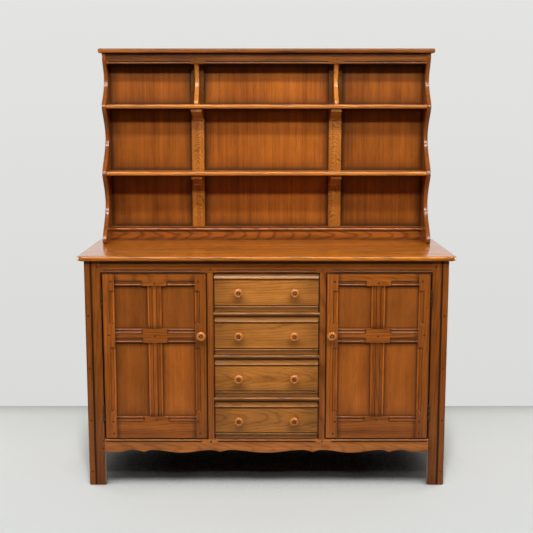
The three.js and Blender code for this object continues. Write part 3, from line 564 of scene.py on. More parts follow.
@dataclass
class MouldedFrame:
    """A joined frame with moulded openings, as a face with relief and a plain back. Its boards are
    the left stile, the right stile, the bottom, the middle and the top rail, then the muntin.

    Attributes:
        face: Where its face lies.
        a: Its limits across.
        b: Its limits upward.
        thickness: Thickness of its boards.
        openings: Its openings.
        foot: Height below which the stiles stand alone as legs.
        foot_radius: Radius of the lower arris of the legs.
        rebate: Depth of the face of the panel.
        tongue: How far the panel runs behind the boards.
        ease: Radius of the outer arrises.
        edge_stain: Share of painted shade along the outer arrises, where the gap round the frame lies in
            shade.
        edge_band: Distances from the outer edge at which that painted shade starts to fade and ends.
        bead_highlight: How much lighter the upright beads are painted, as a painted highlight.
        inner_ease: Radius of the arrises round the openings.
        upright_stain: Share of the mouldings' stain and painted shade that stays on the uprights.
        stop_stain: Strength of the stain where a moulding runs in: four times that at half its depth.
        seam_depth: Depth of the fine groove where two boards meet.
        seam_stain: Share of stain in it.
    """

    face: Face
    a: tuple[float, float]
    b: tuple[float, float]
    thickness: float
    openings: list[Opening]
    foot: float = 0.0
    foot_radius: float = 0.0
    rebate: float = 10.0
    tongue: float = 8.0
    ease: float = 1.2
    edge_stain: float = 0.0
    edge_band: Array = field(default_factory=lambda: np.array([3, 4]))
    bead_highlight: float = 1.45
    inner_ease: float = 0.7
    upright_stain: float = 0.4
    stop_stain: float = 3.6
    seam_depth: float = 0.35
    seam_stain: float = 0.8

    def __post_init__(self) -> None:
        """Reads from the openings where the boards end: the stiles, the muntin and the rails."""
        a0, a1, b0, b1 = zip(*((o.a0, o.a1, o.b0, o.b1) for o in self.openings))
        self.stiles, self.muntin = (min(a0), max(a1)), (min(a1), max(a0))
        self.rails = (min(b0), min(b1), max(b0), max(b1))

    def owner(self, a: Array, b: Array) -> Array:
        """Works out which board each place belongs to.

        Args:
            a: Place across.
            b: Place upward.

        Returns:
            The number of the board.
        """
        bottom, low, high, top = self.rails
        rail = np.where(b < bottom, 2, np.where(b > top, 4, np.where((b > low) & (b < high), 3, 5)))
        return np.where(a < self.stiles[0], 0, np.where(a > self.stiles[1], 1, rail))

    def joints(self, a: Array, b: Array) -> Array:
        """Finds the lines where a rail meets a stile or the muntin meets a rail.

        Args:
            a: Place across.
            b: Place upward.

        Returns:
            One on such a line and none elsewhere.
        """
        bottom, low, high, top = self.rails
        on_rail = (b <= bottom + HAIR) | (b >= top - HAIR) | ((b >= low - HAIR) & (b <= high + HAIR))
        upright = (np.minimum(*(abs(a - x) for x in self.stiles)) < HAIR / 2) & on_rail & (b > self.foot - 1)
        level = np.minimum.reduce([abs(b - z) for z in self.rails]) < HAIR / 2
        return (upright | (level & (a >= self.muntin[0]) & (a <= self.muntin[1]))).astype(float)

    def grid(self, more_a: Iterable[float] = (), more_b: Iterable[float] = ()) -> tuple[Array, Array]:
        """Makes the grid of the frame.

        Args:
            more_a: Further grid lines across.
            more_b: Further grid lines upward.

        Returns:
            The place of each grid point across and upward.
        """
        marks = MOULDING.marks()
        tongue = self.tongue + np.array([-HAIR, 0])
        a, b = ([ends(low, high, self.ease), low + self.edge_band, high - self.edge_band, [*more]]
                for (low, high), more in ((self.a, more_a), (self.b, more_b)))
        a.append([self.stiles[0] - 0.5, self.stiles[1] + 0.5])
        for o in self.openings:
            for group, start, end in ((a, o.a0, o.a1), (b, o.b0, o.b1)):
                group += [start - marks, end + marks, start - tongue, end + tongue,
                          MOULDING.run_in.marks(start, end)]
        inside_a, inside_b = ([v for v in lines(*group) if limits[0] <= v <= limits[1]]
                              for group, limits in ((a, self.a), (b, self.b)))
        return grid(inside_a, inside_b)

    def outer_ease(self, a: Array, b: Array) -> Array:
        """Depth of the eased outer arrises."""
        return rounded(self.inset(a, b), self.ease)

    def inset(self, a: Array, b: Array) -> Array:
        """Distance from the nearest outer edge."""
        return np.minimum(margin(a, *self.a), margin(b, *self.b))

    def relief(self, a: Array, b: Array) -> tuple[Array, Array]:
        """Works out the face: at each point the deepest of the mouldings counts.

        Args:
            a: Place of each grid point across.
            b: Its place upward.

        Returns:
            The depth of the face and the share of stain and painted shade on it.
        """
        depth = self.outer_ease(a, b)
        # Painted shade in the gap round the frame, along its outer arrises.
        dark = np.interp(self.inset(a, b), [0, *self.edge_band], [1, 1, 0]) * self.edge_stain
        for o in self.openings:
            for e, s, length, stopped in o.edges(a, b):
                share = MOULDING.fade(s, length, stopped)
                inside = (s > -HAIR / 2) & (s < length + HAIR / 2) & (e >= 0)
                depth = np.maximum.reduce([depth, MOULDING.depth(e) * share,
                                           rounded(e, self.inner_ease) * inside])
                # The uprights keep only a share of the stain and painted shade, so their mouldings show
                # lighter.
                kept = self.upright_stain if length == o.b1 - o.b0 else 1.0
                stop = self.stop_stain * share * (1 - share) * (e >= 0) * (e < MOULDING.width)
                dark = np.maximum.reduce([dark, MOULDING.stain(e) * share * kept, stop])
        return depth, np.minimum(dark, 1)

    def hollow(self, a: Array, b: Array) -> Array:
        """Works out the back sheet: the thickness, or the panel's face where the panel runs behind.

        Args:
            a: Place of each grid point across.
            b: Its place upward.

        Returns:
            The depth of the back sheet.
        """
        depth = self.thickness - self.outer_ease(a, b)
        for o in self.openings:
            near = ((a > o.a0 - self.tongue) & (a < o.a1 + self.tongue)
                    & (b > o.b0 - self.tongue) & (b < o.b1 + self.tongue))
            depth = np.where(near, self.rebate, depth)
        return depth

    def build(self, skin: Skin, planks: list[Plank], more_a: Iterable[float] = (),
              more_b: Iterable[float] = ()) -> None:
        """Adds the frame to a skin.

        Args:
            skin: Takes the frame.
            planks: Its boards.
            more_a: Further grid lines across.
            more_b: Further grid lines upward.
        """
        a, b = self.grid(more_a, more_b)
        depth, dark = self.relief(a, b)
        seam = self.joints(a, b)
        depth = np.maximum.reduce([depth, seam * self.seam_depth,
                                   rounded(b, self.foot_radius) * (b < self.foot_radius)])
        ca, cb = middles(a), middles(b)
        owners = self.owner(ca, cb)
        # Painted highlight: the beads on the uprights take lighter copies of their boards' planks.
        for o in self.openings:
            for e, s, length, stopped in o.edges(ca, cb)[:2]:
                bead = (e > 0) & (e < 2 * MOULDING.bead_radius) & (MOULDING.fade(s, length, stopped) > 0.5)
                owners = np.where(bead & (owners < len(planks)), owners + len(planks), owners)
        lighter = [replace(plank, tone=plank.tone * self.bead_highlight) for plank in planks]
        holes = [(o.a0, o.a1, o.b0, o.b1) for o in self.openings] + [(*self.stiles, -1.0, self.foot)]
        two_sheets(skin, self.face.at(a, b, depth), self.face.at(a, b, self.hollow(a, b)), planks + lighter,
                   np.maximum(dark, seam * self.seam_stain), solid(a, b, holes), owners)


@dataclass(frozen=True)
class EdgeBead:
    """Bead and quirk along one edge of a rail, stopped short of the uprights.

    Attributes:
        width: Width of the bead.
        quirk_width: Width of the quirk.
        quirk_depth: Depth of the quirk.
        run_in: How it starts at either end of a run.
        reach: Distance from the edge up to which the section counts.
        stain_reach: Distance from the bead up to which stain and painted shade show.
    """

    width: float = 8.0
    quirk_width: float = 2.4
    quirk_depth: float = 2.0
    run_in: RunIn = RunIn(9.0, 9.0, (0, 0.35, 1), (0, 0.7, 1))
    reach: float = 12.0
    stain_reach: float = 4.5

    def marks(self) -> Array:
        """Distances from the edge at which the section needs a grid line."""
        bead = self.width / 2 * (1 - np.cos(np.linspace(0, math.pi, 8)))
        quirk = [self.quirk_width / 2, self.quirk_width, self.stain_reach]
        return np.concatenate([bead, self.width + np.array(quirk)])

    def depth(self, e: Array) -> Array:
        """Works out the depth of the section: half an ellipse for the bead, then the V of the quirk.

        Args:
            e: Distance from the edge.

        Returns:
            The depth.
        """
        half = self.width / 2
        bead = self.quirk_depth * (1 - np.sqrt(np.maximum(1 - ((e - half) / half) ** 2, 0)))
        quirk = np.interp(e, [self.width, self.width + self.quirk_width / 2, self.width + self.quirk_width],
                          [self.quirk_depth, self.quirk_depth, 0])
        return np.where(e < self.width, bead, quirk)

    def stain(self, e: Array) -> Array:
        """Share of stain and painted shade in the quirk, and painted shade at the edge itself, where the gap
        is.
        """
        return np.interp(e, [0, 1.0, 2.2, *(self.width + np.array([-2, -0.6, 2.8, self.stain_reach]))],
                         [0.9, 0.5, 0, 0, 1, 1, 0])

    def share(self, x: Array, runs: list[tuple[float, float]]) -> Array:
        """Share of the full depth at a place along the rail, with every run stopped at both ends."""
        return np.maximum.reduce([self.run_in.share(margin(x, *run)) for run in runs])

    def relief(self, e: Array, x: Array, runs: list[tuple[float, float]]) -> tuple[Array, Array]:
        """Depth and share of stain and painted shade at a distance from the edge and a place along the rail.
        """
        share = self.share(x, runs)
        return self.depth(e) * share * (e < self.reach), self.stain(e) * share

    def stops(self, runs: list[tuple[float, float]]) -> Array:
        """Grid lines along the rail where the runs start and end."""
        return np.concatenate([self.run_in.marks(*run) for run in runs])


BEAD = EdgeBead()


# Materials

# Dark colour of the pores, of stain and of painted shade.
STAIN_AND_SHADE = (0.034, 0.0125, 0.0040)


class Link:
    """A shader output on which sums are written as they are on paper."""

    def __init__(self, graph: "Graph", output: bpy.types.NodeSocket | None) -> None:
        """Wraps the output of a node in the graph."""
        self.graph = graph
        self.output = output

    def _sum(self, operation: str, left: "Link | float", right: "Link | float") -> "Link":
        """Adds the node for one operation, on vectors if either side is a vector."""
        vector = any(isinstance(v, Link) and v.output.type == "VECTOR" for v in (left, right))
        return self.graph.node("VectorMath" if vector else "Math", [left, right], operation=operation)

    def __add__(self, other: "Link | float") -> "Link":
        """self + other"""
        return self._sum("ADD", self, other)

    __radd__ = __add__

    def __sub__(self, other: "Link | float") -> "Link":
        """self - other"""
        return self._sum("SUBTRACT", self, other)

    def __rsub__(self, other: float) -> "Link":
        """other - self"""
        return self._sum("SUBTRACT", other, self)

    def __mul__(self, other: "Link | float") -> "Link":
        """self * other, or a vector scaled by a number"""
        if self.output.type == "VECTOR":
            return self.graph.node("VectorMath", {0: self, 3: other}, operation="SCALE")
        return self._sum("MULTIPLY", self, other)

    __rmul__ = __mul__

    def __truediv__(self, other: float) -> "Link":
        """self / other, for a number that is the same all over"""
        return self * (1 / other)

    def __pow__(self, other: float) -> "Link":
        """self to a power"""
        return self._sum("POWER", self, other)


class Graph:
    """The node tree of a material or of the world."""

    def __init__(self, owner: bpy.types.Material | bpy.types.World) -> None:
        """Empties the owner's tree.

        Args:
            owner: The material or world.
        """
        self.owner = owner
        owner.use_nodes = True
        self.tree = owner.node_tree
        self.tree.nodes.clear()

    def node(self, kind: str, inputs: dict | Iterable = (), output: int | str = 0,
             **settings: object) -> Link:
        """Adds a node.

        Args:
            kind: Type of the node, without the first words that all types share.
            inputs: Values or links of its sockets, by name or number.
            output: The output that is wanted.
            settings: Its own settings, set first.

        Returns:
            That output.
        """
        made = self.tree.nodes.new(f"ShaderNode{kind}")
        for key, value in settings.items():
            setattr(made, key, value)
        for key, value in inputs.items() if isinstance(inputs, dict) else enumerate(inputs):
            if isinstance(value, Link):
                self.tree.links.new(value.output, made.inputs[key])
            else:
                made.inputs[key].default_value = value
        return Link(self, made.outputs[output] if made.outputs else None)

    def mix(self, factor: Link | float, first: Link | Colour, second: Link | Colour,
            blend: str = "MIX") -> Link:
        """Mixes two colours."""
        return self.node("Mix", {0: factor, 6: rgba(first), 7: rgba(second)}, 2, data_type="RGBA",
                         blend_type=blend)

    def noise(self, place: Link, scale: float, detail: float, colour: bool = False) -> Link:
        """Cloudy noise about a half, as a number or as a colour."""
        return self.node("TexNoise", {"Vector": place, "Scale": scale, "Detail": detail}, int(colour))

    def grey(self, value: Link) -> Link:
        """A grey of that lightness."""
        return self.node("CombineColor", [value] * 3)

    def surface(self, shader: Link, output: str = "Material") -> bpy.types.Material | bpy.types.World:
        """Ends the graph in a surface, and gives the material or world it belongs to."""
        self.node(f"Output{output}", {"Surface": shader})
        return self.owner


def rgba(colour: Link | Colour) -> Link | tuple[float, float, float, float]:
    """A plain colour with its alpha; a link passes as it is."""
    return colour if isinstance(colour, Link) else (*colour, 1.0)


@dataclass(frozen=True)
class WoodFinish:
    """Stained and polished wood.

    Attributes:
        name: Name of the material.
        pale: Colour of the wood between the rings.
        deep: Colour in the rings and streaks.
        ring_width: Width of a year's ring, in metres.
        rings: How strongly the rings show.
        streaks: How strongly the long streaks show.
        pores: How strongly the pores show.
        roughness: Roughness of the polish.
        coat: Weight of the clear coat.
        coat_roughness: Roughness of the clear coat.
        leaf: Width of the leaves of a veneer, in metres, or none.
        plank: The grain, for a node that carries none of its own.
    """

    name: str
    pale: Colour
    deep: Colour
    ring_width: float = 0.0062
    rings: float = 0.8
    streaks: float = 0.85
    pores: float = 0.35
    roughness: float = 0.38
    coat: float = 0.8
    coat_roughness: float = 0.14
    leaf: float = 0.0
    plank: Plank | None = None

    def build(self) -> bpy.types.Material:
        """Makes the material.

        The place is split into its part along the grain and its part across it. Rings are the
        distance from the heart, bent by slow noise and drawn out along a slight cone. Streaks
        and pores are noise that is stretched along the grain.

        Returns:
            The material.
        """
        g = Graph(bpy.data.materials.new(self.name))
        place = g.node("TexCoord", output="Object")
        if self.plank:
            along = g.node("CombineXYZ", self.plank.along)
            heart = g.node("CombineXYZ", [v * MM for v in self.plank.heart])
            tone, stain, cone = self.plank.tone, 0.0, self.plank.cone
        else:
            along, heart = (g.node("Attribute", output="Vector", attribute_name=name)
                            for name in ("grain_along", "grain_heart"))
            tone, stain, cone = (g.node("Attribute", output="Fac", attribute_name=name)
                                 for name in ("grain_tone", "stain", "grain_cone"))
        shift = 0.0
        if self.leaf:
            x, y = (g.node("SeparateXYZ", [place], k) for k in (0, 1))
            leaf = g.node("Math", [(x + y) / self.leaf + 0.37], operation="FLOOR")
            draw = g.node("TexWhiteNoise", {"W": leaf}, "Value", noise_dimensions="1D")
            shift = (draw - 0.5) * 0.32
            heart = heart + along * draw
        offset = place - heart
        length = g.node("VectorMath", [offset, along], "Value", operation="DOT_PRODUCT")
        across = offset - along * length

        def stretched(cross: float, lengthwise: float) -> Link:
            """The place with its own scale across the grain and along it."""
            return across * cross + along * (length * lengthwise)

        drift = g.node("VectorMath", [g.noise(stretched(9.0, 1.6), 1.0, 2.0, True), (0.5, 0.5, 0.5)],
                       operation="SUBTRACT")
        radius = g.node("VectorMath", [across + drift * 0.030], "Value", operation="LENGTH")
        rough_edge = g.noise(stretched(220.0, 30.0), 1.0, 1.0) - 0.5
        wander = (g.noise(stretched(20.0, 12.0), 1.0, 2.0) - 0.5) * 0.11
        turn = (radius + (length + wander) * cone + rough_edge * 0.0022) / self.ring_width * (2 * math.pi)
        ring = (g.node("Math", [turn], operation="SINE") * 0.5 + 0.5) ** 5.0
        streak = g.noise(stretched(120.0, 2.2), 1.0, 3.0) - 0.5
        broad = g.noise(stretched(38.0, 0.9), 1.0, 2.0) - 0.5
        patina = g.noise(stretched(16.0, 7.0), 1.0, 2.0) - 0.5
        value = (0.62 + streak * (self.streaks * 1.1) + broad * self.streaks - ring * (self.rings * 0.55)
                 + patina * 0.75 + shift)
        colour = g.mix(g.node("Clamp", [value]), self.deep, self.pale)
        pore = g.node("MapRange", {0: g.noise(stretched(900.0, 26.0), 1.0, 1.0), 1: 0.56, 2: 0.70})
        pore_share = pore * self.pores
        colour = g.mix(pore_share, colour, STAIN_AND_SHADE)
        # Each face's tone, then stain and painted shade from the points, which also dull the coat.
        if isinstance(tone, Link):
            colour = g.mix(1.0, colour, g.grey(tone), "MULTIPLY")
            colour = g.mix(stain * 0.95, colour, STAIN_AND_SHADE)
        height = streak * 0.5 - pore_share * 0.8 - ring * 0.25
        return g.surface(g.node("BsdfPrincipled", {
            "Base Color": colour, "Roughness": self.roughness + streak * 0.25,
            "Normal": g.node("Bump", {"Strength": 0.25, "Distance": 0.0006, "Height": height}),
            "Specular IOR Level": 0.15, "Coat Weight": self.coat - stain * (self.coat * 0.75),
            "Coat Roughness": self.coat_roughness}))


@dataclass(frozen=True)
class BrassFinish:
    """Aged brass: dull brown metal with brighter worn clouds.

    Attributes:
        name: Name of the material.
        lighter: Colour of the worn clouds.
        aged: Colour between them.
    """

    name: str = "aged_brass"
    lighter: Colour = (0.42, 0.28, 0.12)
    aged: Colour = (0.07, 0.045, 0.025)

    def build(self) -> bpy.types.Material:
        """Makes the material from clouds of two sizes.

        Returns:
            The material.
        """
        g = Graph(bpy.data.materials.new(self.name))
        place = g.node("TexCoord", output="Object")
        cloud, scratch = g.noise(place, 90.0, 3.0), g.noise(place, 900.0, 2.0)
        share = g.node("Clamp", [(cloud - 0.42) * 2.2 + (scratch - 0.5) * 0.5])
        return g.surface(g.node("BsdfPrincipled", {
            "Base Color": g.mix(share, self.aged, self.lighter), "Metallic": 0.9,
            "Normal": g.node("Bump", {"Strength": 0.15, "Distance": 0.0002, "Height": scratch}),
            "Roughness": 0.55 - share * 0.2}))


class Finishes:
    """All finishes of the dresser."""

    def __init__(self) -> None:
        """Makes each material once."""

        def wood(name: str, pale: Colour, deep: Colour, **more: float | Plank) -> bpy.types.Material:
            """Makes one wood from its two colours and what else is its own."""
            return WoodFinish(name, pale, deep, **more).build()

        elm = ((0.44, 0.120, 0.013), (0.150, 0.034, 0.004))
        self.elm = wood("elm", *elm, rings=0.55)
        self.light = wood("elm_light", (0.66, 0.230, 0.030), (0.23, 0.066, 0.008), rings=0.9)
        self.dark = wood("elm_dark", (0.24, 0.071, 0.007), (0.055, 0.014, 0.002), streaks=1.2, rings=0.5,
                         coat=0.35)
        self.top = wood("elm_top", (0.68, 0.205, 0.014), (0.21, 0.055, 0.004), roughness=0.30, coat=0.9,
                        coat_roughness=0.1, streaks=1.1)
        self.panel = wood("elm_panel", (0.45, 0.122, 0.014), (0.18, 0.044, 0.005), rings=0.2, streaks=0.55)
        self.back = wood("elm_back_panel", (0.42, 0.118, 0.012), (0.16, 0.038, 0.004), rings=0.12,
                         streaks=0.9, leaf=0.145)
        self.knob = wood("elm_knob", (0.64, 0.205, 0.034), (0.24, 0.066, 0.009), ring_width=0.004,
                         rings=0.4, coat=1.0, coat_roughness=0.1)
        self.drawer = wood("elm_drawer", (0.58, 0.215, 0.036), (0.22, 0.072, 0.012), rings=0.6, streaks=0.6)
        self.plinth = wood("elm_plinth", *elm, rings=0.95)
        self.apron = wood("elm_apron", (0.53, 0.170, 0.031), (0.18, 0.050, 0.010), rings=0.5)
        self.peg = wood("peg_oak", (0.10, 0.035, 0.012), (0.035, 0.012, 0.005))
        self.inside = wood("inside_wood", (0.50, 0.30, 0.14), (0.30, 0.16, 0.07), roughness=0.6, coat=0.0,
                           plank=Plank(Y_AXIS, (90.0, 0.0, 700.0)))
        self.partition = wood("elm_partition", (0.35, 0.097, 0.012), (0.12, 0.030, 0.003),
                              plank=Plank(Z_AXIS, (150.0, 120.0, 0.0)))
        self.ply = wood("back_board", (0.36, 0.20, 0.10), (0.21, 0.11, 0.05), rings=0.3, roughness=0.7,
                        coat=0.0, plank=Plank(X_AXIS, (0.0, 60.0, 1200.0)))
        self.brass = BrassFinish().build()


# Pieces of several sub-assemblies


@dataclass(frozen=True)
class Knob:
    """A turned knob: a cove above its seat, a rounded head and a small button on its face.

    Attributes:
        radius: Radius of its head.
        length: How far it stands out.
        sides: Number of points to a ring.
        radius_shares: Radius of each ring, as a share of the head's.
        length_shares: How far each ring stands out, as a share of the length.
    """

    radius: float = 18.0
    length: float = 30.0
    sides: int = 40
    radius_shares: tuple[float, ...] = (0.5, 0.45, 0.39, 0.36, 0.38, 0.5, 0.72, 0.9, 0.98, 1, 0.985, 0.95,
                                        0.88, 0.78, 0.66, 0.54, 0.45, 0.38, 0.34, 0.26, 0.2, 0.19, 0.15, 0.07)
    length_shares: tuple[float, ...] = (0, 0.07, 0.18, 0.28, 0.36, 0.44, 0.5, 0.56, 0.63, 0.7, 0.77, 0.83,
                                        0.88, 0.92, 0.95, 0.96, 0.945, 0.91, 0.87, 0.86, 0.88, 0.95, 0.99, 1)

    def build(self, tag: Tag, seed: int) -> None:
        """Makes the knob, with stain and painted shade in its cove and round its button.

        Args:
            tag: Says what the piece is.
            seed: Picks its grain.
        """
        seat = (tag.place.middle[0], tag.place.high[1], tag.place.middle[2])
        draw = np.random.default_rng(seed)
        heart = np.array(seat) + (draw.uniform(-14, 14), 0, draw.uniform(8, 20))
        shares = np.array(self.radius_shares)
        # Stain and painted shade in the cove behind the head and round the button on the face.
        dark = np.where(np.arange(len(shares)) > np.argmax(shares),
                        np.interp(shares, [0.1, 0.2, 0.34, 0.4, 0.52], [0.4, 0.8, 0.9, 0.5, 0]),
                        np.interp(shares, [0.36, 0.6, 1], [0.7, 0.3, 0]))
        skin = Skin()
        turned(skin, shares * self.radius, np.array(self.length_shares) * self.length, seat,
               Plank(Y_AXIS, tuple(heart), draw.uniform(0.9, 1.08)), self.sides, dark)
        skin.piece(tag)


@dataclass(frozen=True)
class Pegs:
    """Oak pegs through the joints, cut off a hair proud and darker than the boards.

    Attributes:
        radius: Radius of a peg.
        root: How deep it starts in the board.
        proud: How far it stands out.
        sides: Number of points to a ring.
    """

    radius: float = 3.9
    root: float = 1.5
    proud: float = 0.35
    sides: int = 12

    def build(self, tag: Tag, spots: list[Vector]) -> None:
        """Makes all pegs of one body as a single piece.

        Args:
            tag: Says what the piece is.
            spots: Middle of each peg on the face of its board.
        """
        skin = Skin()
        radii = self.radius * np.array([1, 1, 0.92, 0.6, 0.2])
        reach = np.array([-self.root, self.proud * 0.3, self.proud * 0.75, self.proud, self.proud])
        for number, spot in enumerate(spots):
            plank = Plank(Y_AXIS, (spot[0] + 3, spot[1], spot[2] + 5), 0.8 + 0.1 * (number % 4))
            turned(skin, radii, reach, spot, plank, self.sides)
        skin.piece(tag)


@dataclass(frozen=True)
class NosedSlab:
    """A slab with a rounded front and sides, round front corners and a square back.

    Attributes:
        nose: Radius of its rounded edges.
        corner: Radius of its front corners.
    """

    nose: float
    corner: float

    def build(self, tag: Tag, plank: Plank) -> None:
        """Makes the slab from loops: the outline drawn in by e, at the height of the nose's arc at e.

        Args:
            tag: Says what the piece is.
            plank: Its plank.
        """
        low, high = tag.place.low, tag.place.high
        turn, bend = (np.linspace(0, math.pi / 2, count) for count in (9, 15))
        inset, rise = self.nose * (1 - np.sin(turn)), self.nose * (1 - np.cos(turn))
        loops = []
        for e, z in zip([*inset, *inset[::-1]], [*(low[2] + rise), *(high[2] - rise[::-1])]):
            left, right, front, r = low[0] + e, high[0] - e, low[1] + e, self.corner - e
            x = [left, *(left + r - r * np.cos(bend)), *(right - r + r * np.sin(bend)), right]
            y = [high[1], *(front + r - r * np.sin(bend)), *(front + r - r * np.cos(bend)), high[1]]
            loops.append(np.stack([x, y, np.full_like(x, z)], 1))
        skin = Skin()
        rings(skin, np.stack(loops), plank)
        skin.piece(tag)


@dataclass(frozen=True)
class NosedShelf:
    """A board that lies flat with a rounded front edge, notched at its back where told.

    Attributes:
        nose: Radius of its front edge.
    """

    nose: float

    def build(self, tag: Tag, plank: Plank, notches: Iterable[Vector] = ()) -> None:
        """Makes the shelf.

        Args:
            tag: Says what the piece is.
            plank: Its plank.
            notches: Each the limits across and the depth from the front at which a notch starts.
        """
        low, high = tag.place.low, tag.place.high
        depth, thick = (high - low)[1:]
        a, b = grid(lines(ends(low[0], high[0], ARRIS), [v for n in notches for v in n[:2]],
                          np.linspace(low[0] + 5, high[0] - 5, 12)),
                    lines(arris(0, 1, self.nose, 8), [n[2] for n in notches], [depth]))
        sunk = np.maximum(rounded(b, self.nose), rounded(margin(a, low[0], high[0]), ARRIS))
        face = Face((0, low[1], high[2]), X_AXIS, Y_AXIS, (0.0, 0.0, -1.0))
        skin = Skin()
        two_sheets(skin, face.at(a, b, sunk), face.at(a, b, thick - sunk), [plank],
                   keep=solid(a, b, [(*n, math.inf) for n in notches]))
        skin.piece(tag)


def panel(tag: Tag, face: Face, openings: list[Opening], seed: int, reach: float = 1.0,
          tones: tuple[float, ...] = (1.0, 1.0), shade: tuple[float, ...] = (0.8, 0.5, 0.3, 0.13, 0),
          fields: tuple[float, ...] = ()) -> None:
    """Makes a thin panel behind a frame, with stain and painted shade along the edges of each of its fields.

    Args:
        tag: Says what the piece is.
        face: Where its face lies.
        openings: The openings it fills.
        seed: Picks its grain.
        reach: How wide the dark edge is, as a share of 45 mm.
        tones: Lightness of each column of fields.
        shade: Share of stain and painted shade from the edge of a field inward.
        fields: Least share of painted shade on each field, or none.
    """
    low, high = tag.place.low, tag.place.high
    across = 0 if face.across == X_AXIS else 1
    marks = np.array([0, 4, 11, 24, 45]) * reach
    a, b = grid(lines([low[across], high[across]], *[[*(o.a0 + marks), *(o.a1 - marks)] for o in openings]),
                lines([low[2], high[2]], *[[*(o.b0 + marks), *(o.b1 - marks)] for o in openings]))
    dark = np.zeros_like(a)
    # Stain and painted shade along the edges of each field, and at least a given share of painted shade on
    # some fields.
    for o, least in zip(openings, fields or (0.0,) * len(openings)):
        inset = np.minimum(margin(a, o.a0, o.a1), margin(b, o.b0, o.b1))
        dark = np.where(inset >= -HAIR, np.maximum(np.interp(inset, marks, shade), least), dark)
    columns = sorted({o.a0 for o in openings})
    outward = tuple(-v for v in face.into)
    planks = [sawn(Cut.QUARTER, Z_AXIS, outward, face.at(start, 400.0, 0.0), seed + k, tone)
              for k, (start, tone) in enumerate(zip(columns, tones))]
    skin = Skin()
    two_sheets(skin, face.at(a, b, 0 * a), face.at(a, b, 0 * a + (high - low)[1 - across]), planks, dark,
               owner=np.searchsorted(columns[1:], middles(a)))
    skin.piece(tag)


def moulded_rail(tag: Tag, runs: list[tuple[float, float]], seed: int, tone: float) -> None:
    """Makes a straight rail with a stopped bead along its lower edge and painted shadow along its upper one,
    under the overhang of the board above.

    Args:
        tag: Says what the piece is.
        runs: Stretches in which the bead runs.
        seed: Picks its grain.
        tone: Share of the finish's own lightness.
    """
    low, high = tag.place.low, tag.place.high
    tall = high[2] - low[2]
    shadowed = np.array([0, 7, 14, 22])
    x = lines(ends(low[0], high[0], ARRIS), BEAD.stops(runs), np.linspace(low[0], high[0], 12))
    a, e = grid(x[(x >= low[0]) & (x <= high[0])],
                lines(BEAD.marks(), arris(tall, -1, ARRIS), tall - shadowed[1:]))
    depth, dark = BEAD.relief(e, a, runs)
    plank = sawn(Cut.RIFT, X_AXIS, FRONTWARD, (0, low[1], tag.place.middle[2]), seed, tone)
    # Painted shadow along the upper edge, under the overhang of the board above; stain and painted shade in
    # the bead's quirk.
    faced_board(tag, a, low[2] + e, np.maximum(rounded(margin(e, 0, tall), ARRIS), depth), plank,
                np.maximum(dark, np.interp(tall - e, shadowed, [0.85, 0.6, 0.2, 0])))


# Base


